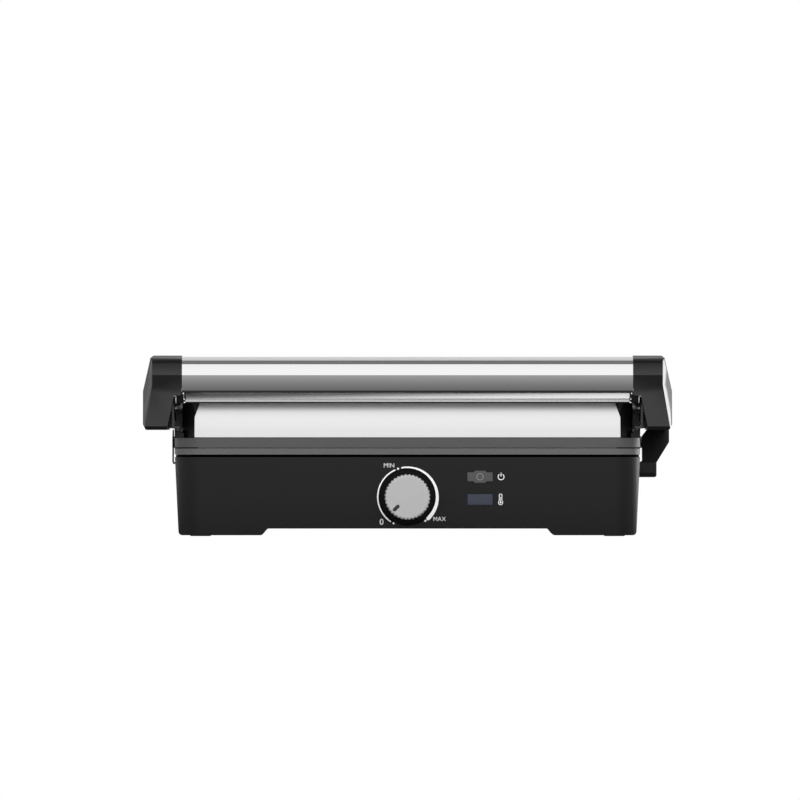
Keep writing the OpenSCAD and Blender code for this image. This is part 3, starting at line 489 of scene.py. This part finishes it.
# Radius on the edges of each node, in millimetres.
EDGE_RADII = {
    "base_shell": 1.2, "bottom_cover": 0.4, "rubber_pads": 0.6, "lower_plate": 0.25,
    "upper_plate": 0.25, "drip_tray": 0.5, "right_hinge_housing": 0.8, "left_hinge_bracket": 0.25,
    "left_arm_cover": 0.7, "right_arm_cover": 0.7, "release_slide": 0.35, "lid_frame": 0.6,
    "cord_gland": 0.5, "left_arm_plate": 0.2, "right_arm_plate": 0.2, "base_screws": 0.3,
    "arm_screws": 0.3, "upper_plate_screws": 0.3, "terminal_block": 0.5, "thermostat": 0.4,
    "thermal_cutout": 0.4, "upper_cutout": 0.4, "lamps": 0.5, "lamp_board": 0.15, "shaft_nut": 0.2,
    "knob_shaft": 0.3, "hinge_pins": 0.4, "pivot_pins": 0.3, "pivot_sleeves": 0.15,
    "hinge_bushes": 0.2, "thrust_washers": 0.15, "housing_screws": 0.2, "handle_screws": 0.3,
    "plate_screws": 0.2, "lower_reflector": 0.15, "upper_reflector": 0.15, "lower_element": 0.2,
    "upper_element": 0.2, "handle_core": 0.6,
}


def dress_cad_nodes():
    """Each CAD node takes the finish of its slot and small radii on its edges."""
    weld_reach, least_radius = 0.01, 0.1
    flat_angle = radians(0.4)
    slots = {}
    for entry in frame["record"]["materials"]:
        for node in entry.get("nodes", []):
            slots[node] = entry["slot"]
    for name, obj in frame["nodes"].items():
        for index in range(len(obj.material_slots)):
            slot_name = slots.get(name) or obj.material_slots[index].material.name
            obj.material_slots[index].material = OWN_FINISH.get(name) or FINISHES[slot_name]
        if "custom_normal" in obj.data.attributes:
            obj.data.attributes.remove(obj.data.attributes["custom_normal"])
        for polygon in obj.data.polygons:
            polygon.use_smooth = True
        weld = obj.modifiers.new("weld", "WELD")
        weld.merge_threshold = weld_reach * MM
        flat = obj.modifiers.new("flat_faces", "DECIMATE")
        flat.decimate_type = "DISSOLVE"
        flat.angle_limit = flat_angle
        if name in EDGE_RADII:
            round_edges(obj, EDGE_RADII[name])
        else:
            round_edges(obj, least_radius, segments=1)


# ---- studio ----

def studio():
    """White walls all round and a darker ceiling, which the steel shows as a grey band."""
    side_grey, screen_glow, fill_grey = 0.30, 4.5, 0.62
    world = bpy.data.worlds.new("studio")
    bpy.context.scene.world = world
    world.use_nodes = True
    tree = world.node_tree
    n = Nodes(tree)
    light_path = n.add("ShaderNodeLightPath").outputs
    side = n.xyz(n.add("ShaderNodeTexCoord").outputs["Generated"])
    # Elevation runs from 0 at the horizon to 1 overhead.
    elevation = n.math("DIVIDE", n.math("ARCSINE", side["Z"]), pi / 2)
    front_wall = n.ramp(elevation, [(0.0, 0.95), (0.10, 1.0), (0.60, 1.0), (0.72, 0.55), (0.82, 0.16),
                                    (1.0, 0.13)])
    back_wall = n.ramp(elevation, [(0.0, 0.60), (0.12, 0.60), (0.45, 1.0), (0.62, 0.45), (0.80, 0.16),
                                   (1.0, 0.13)])
    behind = n.ramp(n.math("ADD", n.math("MULTIPLY", side["Y"], 0.5), 0.5), [(0.45, 0.0), (0.60, 1.0)])
    walls = n.blend(behind, front_wall, back_wall)
    # The walls grow darker towards both sides.
    sideways = n.ramp(n.math("ABSOLUTE", side["X"]),
                      [(0.22, 0.0), (0.45, 0.55), (0.70, 0.75), (0.90, 0.35)])
    walls = n.blend(sideways, walls, rgba(side_grey))
    # A tall bright screen stands behind the right-hand side.
    across = n.math("DIVIDE", n.math("ADD", n.math("ARCTAN2", side["X"], side["Y"]), pi), 2 * pi)
    screen = n.ramp(across, [(0.565, 0.0), (0.59, 1.0), (0.66, 1.0), (0.69, 0.0)])
    low = n.ramp(elevation, [(0.25, 1.0), (0.45, 0.0)])
    walls = n.blend(n.math("MULTIPLY", screen, low), walls, rgba(screen_glow))
    mirror_rays = n.math("MAXIMUM", light_path["Is Glossy Ray"], light_path["Is Transmission Ray"])
    seen = n.blend(mirror_rays, rgba(fill_grey), walls)
    seen = n.blend(light_path["Is Camera Ray"], seen, rgba(1.0))
    n.set(tree.nodes["Background"], "Color", seen)
    soft_box("key_light", (0.5, -2.0, 1.1), (1.8, 1.2), 28)
    soft_box("fill_light", (-1.4, -1.2, 0.9), (1.4, 1.2), 8)
    soft_box("rear_light", (0.3, 1.6, 1.4), (1.6, 1.0), 18)


def soft_box(name, place, size, power):
    """A large soft light aimed at the grill. Place and size are in metres, power in watts."""
    aim = Vector((0, 0, 0.05))
    data = bpy.data.lights.new(name, "AREA")
    data.shape = "RECTANGLE"
    data.size, data.size_y = size
    data.energy = power
    lamp = bpy.data.objects.new(name, data)
    bpy.context.scene.collection.objects.link(lamp)
    lamp.location = place
    lamp.rotation_euler = (aim - Vector(place)).to_track_quat("-Z", "Y").to_euler()
    lamp.visible_glossy = False
    lamp.visible_camera = False


def floor():
    """A plain pale table top, with a painted shadow round the grill where mirror rays see it."""
    material = bpy.data.materials.new("pale_floor")
    material.use_nodes = True
    tree = material.node_tree
    n = Nodes(tree)
    light_path = n.add("ShaderNodeLightPath").outputs
    surface = tree.nodes["Principled BSDF"]
    surface.inputs["Base Color"].default_value = rgba(0.90)
    surface.inputs["Roughness"].default_value = 0.8
    surface.inputs["Specular IOR Level"].default_value = 0.1
    # The camera sees it fade to white far off and at a flat angle.
    place = n.add("ShaderNodeTexCoord").outputs["Object"]
    reach = n.add("ShaderNodeVectorMath", {"Vector": place}, operation="LENGTH").outputs["Value"]
    far_away = n.ramp(reach, [(0.22, 0.35), (0.48, 1.0)])
    flat_angle = n.ramp(n.add("ShaderNodeLayerWeight", {"Blend": 0.5}).outputs["Facing"],
                        [(0.93, 0.0), (0.985, 1.0)])
    white = n.add("ShaderNodeEmission", {"Color": rgba(1.0)}).outputs[0]
    seen = n.add("ShaderNodeMixShader", {0: n.math("MAXIMUM", far_away, flat_angle),
                                         1: surface.outputs[0], 2: white}).outputs[0]
    # Mirror rays see a painted shadow instead of its lit colour: an emitted grey, dark close to the
    # grill and paler farther off.
    spot = n.xyz(place)
    step_forward = n.math("SUBTRACT", front_y * MM, spot["Y"])
    step_sideways = n.math("SUBTRACT", n.math("ABSOLUTE", spot["X"]), base_half * MM)
    step_back = n.math("SUBTRACT", spot["Y"], rear_y * MM)
    beside = n.math("MULTIPLY", step_sideways, n.math("GREATER_THAN", spot["Y"], front_y * MM))
    step_away = n.math("MAXIMUM", step_forward, n.math("MAXIMUM", step_back, beside))
    shade = n.ramp(step_away, [(0.0, 0.03), (0.035, 0.10), (0.075, 0.185), (0.15, 0.37), (0.30, 0.70),
                               (0.60, 0.92)])
    painted_shadow = n.add("ShaderNodeEmission", {"Color": shade}).outputs[0]
    mirrored = n.add("ShaderNodeMixShader", {0: light_path["Is Glossy Ray"], 1: surface.outputs[0],
                                             2: painted_shadow}).outputs[0]
    mixed = n.add("ShaderNodeMixShader", {0: light_path["Is Camera Ray"], 1: mirrored, 2: seen})
    n.set(tree.nodes["Material Output"], "Surface", mixed.outputs[0])
    half = 6.0
    corners = [(-half, -half, 0), (half, -half, 0), (half, half, 0), (-half, half, 0)]
    mesh = bpy.data.meshes.new("floor")
    mesh.from_pydata(corners, [], [(0, 1, 2, 3)])
    mesh.materials.append(material)
    obj = bpy.data.objects.new("floor", mesh)
    bpy.context.scene.collection.objects.link(obj)


# ---- handle ----

# Corners of a section: how far back from the arms' front and down from their top, and the radius.
SLEEVE_CORNERS = [(5.7, 24.0, 0.3), (19.5, 24.0, 1.2), (23, 20.6, 1.2), (23, 3.4, 1.2), (20, 0, 1.2),
                  (12.5, 0, 2.2), (7, 2.6, 0.5), (3.7, 5.2, 0.4), (0, 12.9, 0.5)]
SOLE_CORNERS = [(6.6, 24.55, 0.5), (18.4, 24.55, 0.5), (19.4, 23.1, 0.2), (6.3, 23.1, 0.2)]


def grip_outline(corners):
    """The sharp outline in (y, z) and the radius of each corner."""
    outline = [(grip_front + back, grip_top - down) for back, down, radius in corners]
    return outline, [radius for back, down, radius in corners]


def handle_bar():
    """The brushed steel sleeve: a blunt wedge whose crease faces the cook."""
    inset, fullness, slices = 0.8, 0.35, 12
    wedge, radii = grip_outline(SLEEVE_CORNERS)
    section = rounded(inset_outline(wedge, inset), radii)
    # The lower front face is slightly full, so it darkens towards its foot.
    crease, foot = Vector(section[-1]), Vector(section[0])
    out = Vector((foot.y - crease.y, crease.x - foot.x)).normalized()
    for i in range(1, slices):
        t = i / slices
        section.append(tuple(crease.lerp(foot, t) + out * 4 * t * (1 - t) * fullness))
    stations = [bar_low.x + (bar_high.x - bar_low.x) * i / slices for i in range(slices + 1)]
    piece("handle_sleeve", *along_x(section, stations), "arms", "brushed_steel", ["handle_bar"])
    sole = rounded(*grip_outline(SOLE_CORNERS), 3)
    piece("handle_sole", *along_x(sole, stations), "arms", "housing_plastic", material=SOLE_PLASTIC)


# ---- lid ----

def panel_side(z):
    """Half-width of the front panel at a height: upright, then leaning in."""
    upright_height, lean = 13.6, 3.5
    half = panel_high.x
    lean_start = panel_low.z + upright_height
    if z <= lean_start:
        return half
    return half - lean * (z - lean_start) / (panel_high.z - lean_start)


def front_panel():
    """The steel front of the lid, upright at its foot and curving back above."""
    radius, upright, sheet, strips = 58, 4.5, 1.0, 24
    edge_radius, sharp_angle = 0.25, 50
    foot_z, top_z = panel_low.z, panel_high.z
    centre = (front_y + radius, foot_z + upright)
    top_angle = degrees(atan2(top_z - centre[1], sqrt(radius ** 2 - (top_z - centre[1]) ** 2)))

    def face(inset, steps=18):
        r = radius - inset
        points = [(front_y + inset, foot_z), (front_y + inset, foot_z + upright * 0.5)]
        for i in range(steps + 1):
            angle = radians(top_angle * i / steps)
            points.append((centre[0] - r * cos(angle), min(top_z, centre[1] + r * sin(angle))))
        return points

    outline = face(0) + face(sheet)[::-1]
    across = [i / strips * 2 - 1 for i in range(strips + 1)]
    rings = [[(t * panel_side(z), y, z) for y, z in outline] for t in across]
    obj = piece("lid_steel_front", *loft(rings), "lid", "brushed_steel", ["lid_front_panel"],
                material=SATIN_STEEL)
    round_edges(obj, edge_radius, angle=sharp_angle)


# The top cover's edge from below: how far in from its outline, and how far above its foot.
COVER_BEAD = [(2.4, 0.28), (0.4, 0.3), (0.12, 0.38), (0.02, 0.55), (0.0, 0.9), (0.01, 1.3), (0.06, 1.5),
              (0.25, 1.68)]
COVER_GROOVE = [(0.9, 1.85), (1.2, 2.1), (0.9, 2.45)]
# Insets of the rings over its crowned top.
COVER_TOP_INSETS = (8, 14, 24, 40, 60, 85, 110)


def top_cover():
    """The steel top of the lid: a shallow crowned tray with a rolled edge under a groove."""
    crown, corner, least_corner, sheet_thickness = 0.7, 1.8, 1.0, 0.8
    bend_r, wall_inset, wall_margin = 1.3, 0.5, 0.4
    lean_range, lean_curve, lean_right = 15, 2.4, 4
    half_x = cover_high.x
    y0, y1 = cover_low.y, cover_high.y
    z0 = cover_low.z
    wall_foot, wall_top = z0 + 2.65, z0 + 6.4
    top_z = wall_top + bend_r

    def plan(inset):
        """The rounded rectangle at an inset, with the same points round it each time."""
        hx, ya, yb = half_x - inset, y0 + inset, y1 - inset
        r = max(least_corner, corner - inset)
        points = []
        for cx, cy, start in ((hx - r, yb - r, 0), (-hx + r, yb - r, 90), (-hx + r, ya + r, 180),
                              (hx - r, ya + r, 270)):
            for i in range(9):
                angle = radians(start + i * 90 / 8)
                points.append((cx + r * cos(angle), cy + r * sin(angle)))
        return points

    def leaning(x, y, z):
        """The front wall leans slightly forward at the right end and back at the left."""
        if y > (y0 + y1) / 2:
            return (x, y, z)
        lean = radians(lean_range * ((half_x - x) / (2 * half_x)) ** lean_curve - lean_right)
        return (x, y + tan(lean) * min(max(0.0, z - wall_foot), wall_top - wall_foot), z)

    def crown_z(x, y):
        """Height of the crowned top, highest in the middle."""
        across = 1 - (x / half_x) ** 2
        along = 1 - ((y - (y0 + y1) / 2) / ((y1 - y0) / 2)) ** 2
        return crown * max(0.0, across * along)

    profile = [(inset, z0 + height) for inset, height in COVER_BEAD + COVER_GROOVE]
    profile += [(wall_inset, z) for z in (wall_foot, wall_foot + wall_margin, wall_top - wall_margin)]
    for a in range(0, 91, 15):
        profile.append((wall_inset + bend_r - bend_r * cos(radians(a)),
                        wall_top + bend_r * sin(radians(a))))
    rings = [[leaning(x, y, z) for x, y in plan(inset)] for inset, z in profile]
    for inset in COVER_TOP_INSETS:
        rings.append([(x, y, top_z + crown_z(x, y)) for x, y in plan(inset)])
    vertices, faces = loft(rings, caps=False)
    count = len(rings[0])
    faces.append(tuple(range(len(vertices) - count, len(vertices))))
    obj = piece("lid_steel_top", vertices, faces, "lid", "brushed_steel", ["lid_top_cover"])
    sheet = obj.modifiers.new("sheet", "SOLIDIFY")
    sheet.thickness = sheet_thickness * MM
    sheet.offset = -1
    # A dark plastic strip fills the gap between the lid frame and the rolled edge, as painted shadow
    # under the rolled edge.
    outside, inside, strip_foot, strip_top = 1.5, 3.5, lid_frame_top - 0.1, z0 + 0.8
    shadow_strip = [(outside, strip_foot), (outside, strip_top), (inside, strip_top), (inside, strip_foot)]
    shadow_strip_rings = [[(x, y, z) for x, y in plan(inset)] for inset, z in shadow_strip + shadow_strip[:1]]
    piece("cover_shadow_strip", *loft(shadow_strip_rings, caps=False), "lid", "housing_plastic")


# ---- controls ----

def control_knob():
    """The satin knob: 36 shallow flutes that run out into a rounded face edge."""
    flutes, steps, flute_shape = 36, 8, 1.5
    face_y = knob_low.y
    back_y = knob_high.y
    # Along the knob from its back: the place, the radius and the depth of the flutes.
    profile = [(back_y, knob_r - 0.35, 0.0), (back_y - 0.6, knob_r, 0.8), (face_y + 3.0, knob_r, 0.95),
               (face_y + 1.2, knob_r - 0.10, 0.9), (face_y + 0.5, knob_r - 0.3, 0.75),
               (face_y + 0.3, knob_r - 0.7, 0.35), (face_y + 0.25, knob_r - 1.1, 0.0),
               (face_y + 0.3, knob_r - 2.2, 0.0), (face_y + 0.35, knob_r * 0.5, 0.0),
               (face_y + 0.35, knob_r * 0.2, 0.0)]
    rings = []
    for y, radius, depth in profile:
        ring = []
        for i in range(flutes * steps):
            turn = 2 * pi * i / (flutes * steps)
            scallop = (0.5 + 0.5 * cos(turn * flutes)) ** flute_shape
            r = radius - depth * scallop
            ring.append((r * cos(turn), y, knob_z + r * sin(turn)))
        rings.append(ring)
    piece("fluted_knob", *loft(rings), "knob", "knob_silver", ["control_knob"], smooth=40)


def pointer_bar():
    """The dark bar with round ends that is let into the knob's face."""
    turn = radians(224)
    middle, half_length, half_width = 10.4, 2.75, 1.15
    # From its foot to its face: how far it shrinks, and its depth below the knob's front.
    steps_out = [(0.0, 0.7), (0.0, 0.25), (0.12, 0.12), (0.4, 0.08)]
    outline = []
    for end in (1, -1):
        for i in range(9):
            angle = radians(-90 + i * 180 / 8 + (0 if end > 0 else 180))
            outline.append((end * (half_length - half_width) + half_width * cos(angle),
                            half_width * sin(angle)))
    rings = []
    for shrink, depth in steps_out:
        ring = []
        for u, v in outline:
            along, across = middle + u * (1 - shrink / half_length), v * (1 - shrink / half_width)
            ring.append((along * cos(turn) - across * sin(turn), knob_low.y + depth,
                         knob_z + along * sin(turn) + across * cos(turn)))
        rings.append(ring)
    piece("pointer_bar", *loft(rings), "knob", "arm_plastic", ["knob_pointer"])


# The dish's section: radius, and depth behind the base's front.
DISH_SECTION = [(18.9, 0.05), (18.6, 0.25), (17.6, 0.75), (15.5, 1.1), (11.0, 1.3), (5.0, 1.35),
                (5.0, 1.45), (18.9, 1.45)]


def dial_dish():
    """The sunken ring round the knob, darker and deeper towards the shaft, in a duller near-black
    finish that adds painted shade to the recess.
    """
    section = [(radius, front_y + depth) for radius, depth in DISH_SECTION + DISH_SECTION[:1]]
    dish = turned_y(section, 0, knob_z, 72, caps=False)
    piece("dial_dish", *dish, "base", "base_plastic", material=DISH_SHADE_PLASTIC)


# ---- print ----

# Print stands a little proud of the base's front and reaches a little into it.
PRINT_Y = front_y - 0.06
PRINT_BACK_Y = front_y + 0.1


def ribbon(points, widths):
    """A flat printed line on the panel through (x, z) points, with its own width at each."""
    left, right = [], []
    for i, (x, z) in enumerate(points):
        ahead = Vector(points[min(i + 1, len(points) - 1)]) - Vector(points[max(i - 1, 0)])
        side = Vector((-ahead.y, ahead.x)).normalized() * widths[i] / 2
        left.append((x + side.x, z + side.y))
        right.append((x - side.x, z - side.y))
    vertices = [(x, y, z) for y in (PRINT_Y, PRINT_BACK_Y) for x, z in left + right[::-1]]
    count = len(vertices) // 2
    faces = [(i, i + 1, count - 2 - i, count - 1 - i) for i in range(len(points) - 1)]
    faces += [(i, (i + 1) % count, (i + 1) % count + count, i + count) for i in range(count)]
    return vertices, faces


def line(points, width):
    """A printed line of one width."""
    return ribbon(points, [width] * len(points))


def disc(x, z, radius):
    """A flat printed dot on the panel, just proud of the lines."""
    proud = 0.02
    return turned_y([(radius, PRINT_Y - proud), (radius, PRINT_BACK_Y)], x, z, 20)


def arc_points(radius, start, end, x, z, steps):
    """Points of an arc in (x, z) between two angles in degrees, anticlockwise from the right."""
    points = []
    for i in range(steps + 1):
        angle = radians(start + (end - start) * i / steps)
        points.append((x + radius * cos(angle), z + radius * sin(angle)))
    return points


def dial_scale():
    """The printed scale round the knob: a thin stretch up to MIN, then one that widens to MAX."""
    radius, thin_width, least_width, growth, growth_curve, steps = 19.7, 0.85, 0.95, 1.5, 1.2, 72
    thin_start, thin_end, wide_start, wide_end = 236, 114, 102, -46
    # Single dots: angle and radius.
    dots = [(108.5, 0.7), (242, 0.65), (-53, 0.65)]
    thin = arc_points(radius, thin_start, thin_end, 0, knob_z, 60)
    wide = arc_points(radius, wide_start, wide_end, 0, knob_z, steps)
    widths = [least_width + growth * (i / steps) ** growth_curve for i in range(steps + 1)]
    parts = [line(thin, thin_width), ribbon(wide, widths)]
    parts.append(disc(*wide[-1], widths[-1] / 2))
    for angle, dot in dots:
        parts.append(disc(radius * cos(radians(angle)), knob_z + radius * sin(radians(angle)), dot))
    piece("dial_scale", *joined(*parts), "base", "knob_silver", material=PRINT)


def window_icons():
    """A power sign and a thermometer sign beside the lamp windows."""
    sign_gap, ring_radius, sign_width, stroke_foot, stroke_top = 5.4, 1.95, 0.48, 0.2, 2.7
    x, z = power_high.x + sign_gap, (power_low.z + power_high.z) / 2
    ring = arc_points(ring_radius, 125, 415, x, z, 28)
    stroke = [(x, z + stroke_foot), (x, z + stroke_top)]
    parts = [line(ring, sign_width), line(stroke, sign_width)]
    piece("power_sign", *joined(*parts), "base", "knob_silver", material=PRINT)

    sign_gap, sign_lift, glass_width, fill_width = 5.1, 0.2, 0.4, 0.35
    tube_radius, tube_height, bulb_radius, bulb_drop = 0.85, 2.6, 1.45, 2.2
    fill_radius, fill_height = 0.6, 1.4
    x, z = heat_high.x + sign_gap, (heat_low.z + heat_high.z) / 2 + sign_lift
    tube = arc_points(tube_radius, 0, 180, x, z + tube_height, 10)
    bulb = arc_points(bulb_radius, 126, 414, x, z - bulb_drop, 22)
    parts = [line(tube + bulb + tube[:1], glass_width), disc(x, z - bulb_drop, fill_radius),
             line([(x, z - bulb_drop), (x, z + fill_height)], fill_width)]
    piece("thermometer_sign", *joined(*parts), "base", "knob_silver", material=PRINT)


# Piece, text, place from the middle of the front and from the ground, and height of its capitals.
DIAL_WORDS = [("word_min", "MIN", -12.2396, 46.709, 2.9), ("word_zero", "0", -17.1354, 9.2624, 3.9),
              ("word_max", "MAX", 21.105, 11.2472, 2.8)]


def printed_word(name, text, x, z, cap_height):
    """Generic dial lettering as thin solid print on the panel."""
    size_per_cap_height, depth, boldness = 1.42, 0.08, 0.015
    data = bpy.data.curves.new(name, "FONT")
    data.body = text
    data.align_x = "CENTER"
    data.align_y = "CENTER"
    data.size = cap_height * size_per_cap_height * MM
    data.extrude = depth * MM
    data.offset = boldness * MM
    holder = bpy.data.objects.new(name, data)
    bpy.context.scene.collection.objects.link(holder)
    holder.location = (x * MM, front_y * MM, z * MM)
    holder.rotation_euler = (radians(90), 0, 0)
    bpy.context.view_layer.update()
    solid = holder.evaluated_get(bpy.context.evaluated_depsgraph_get())
    mesh = bpy.data.meshes.new_from_object(solid)
    mesh.transform(holder.matrix_world)
    bpy.data.objects.remove(holder)
    obj = bpy.data.objects.new(name, mesh)
    bpy.context.scene.collection.objects.link(obj)
    mesh.materials.clear()
    mesh.materials.append(WORD_PRINT)
    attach(obj, "base")


# ---- lamp windows ----

def window_lens(low, high, bulge):
    """A lens filling a window's box, with eased rims and a step in the middle of both long sides."""
    step_start, step_end = 0.5, 0.42
    # From its back to its face: scale, and depth below the face.
    eased_rims = [(1.0, 0.25), (0.97, 0.08), (0.8, 0.05), (0.4, 0.05)]
    half_x, half_z = (high.x - low.x) / 2, (high.z - low.z) / 2 - bulge
    cx, cz = (high.x + low.x) / 2, (high.z + low.z) / 2
    lower = [(-half_x, -half_z), (half_x, -half_z)]
    if bulge:
        lower[1:1] = [(-half_x * step_start, -half_z), (-half_x * step_end, -half_z - bulge),
                      (half_x * step_end, -half_z - bulge), (half_x * step_start, -half_z)]
    shape = lower + [(-u, -v) for u, v in lower]
    steps = [(1.0, high.y)] + [(scale, low.y + depth) for scale, depth in eased_rims]
    return loft([[(cx + u * scale, y, cz + v * scale) for u, v in shape] for scale, y in steps])


def lamp_windows():
    """Both lamp windows, and the ring of the lamp seen in the upper one."""
    power_bulge, ring_inside, ring_outside, ring_sunk, ring_proud = 1.1, 1.9, 2.35, 0.1, 0.04
    upper_lens = window_lens(power_low, power_high, power_bulge)
    piece("power_lens", *upper_lens, "base", "lamp_lens", ["power_window"])
    lower_lens = window_lens(heat_low, heat_high, 0.0)
    piece("heat_lens", *lower_lens, "base", "heat_lens", ["heat_window"])
    foot, face = power_low.y + ring_sunk, power_low.y - ring_proud
    section = [(ring_inside, foot), (ring_inside, face), (ring_outside, face), (ring_outside, foot)]
    ring = turned_y(section, (power_low.x + power_high.x) / 2, (power_low.z + power_high.z) / 2, 48)
    piece("lamp_ring", *ring, "base", "lamp_lens", material=LAMP_RING)


# ---- spring ----

def release_spring():
    """The coil spring behind the release slide."""
    turns, wire, steps, wire_sides, travel = 9, 0.35, 16, 8, 6.0
    cx, cz = (spring_low.x + spring_high.x) / 2, (spring_low.z + spring_high.z) / 2
    coil_r = (spring_high.x - spring_low.x) / 2 - wire
    length = spring_high.y - spring_low.y - 2 * wire
    up = Vector((0, 1, 0))
    rings = []
    for i in range(turns * steps + 1):
        t = i / (turns * steps)
        turn = 2 * pi * i / steps
        centre = Vector((cx + coil_r * cos(turn), spring_low.y + wire + length * t,
                         cz + coil_r * sin(turn)))
        out = Vector((cos(turn), 0, sin(turn)))
        rings.append([tuple(centre + out * wire * cos(a) + up * wire * sin(a))
                      for a in (2 * pi * k / wire_sides for k in range(wire_sides))])
    coil = piece("spring_coil", *loft(rings), "arms", "steel_fitting", ["release_spring"])
    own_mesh(coil)


front_camera()
studio()
floor()
dress_cad_nodes()
handle_bar()
front_panel()
top_cover()
control_knob()
pointer_bar()
dial_dish()
dial_scale()
window_icons()
for dial_word in DIAL_WORDS:
    printed_word(*dial_word)
lamp_windows()
release_spring()

bpy.context.scene.view_settings.view_transform = "Standard"
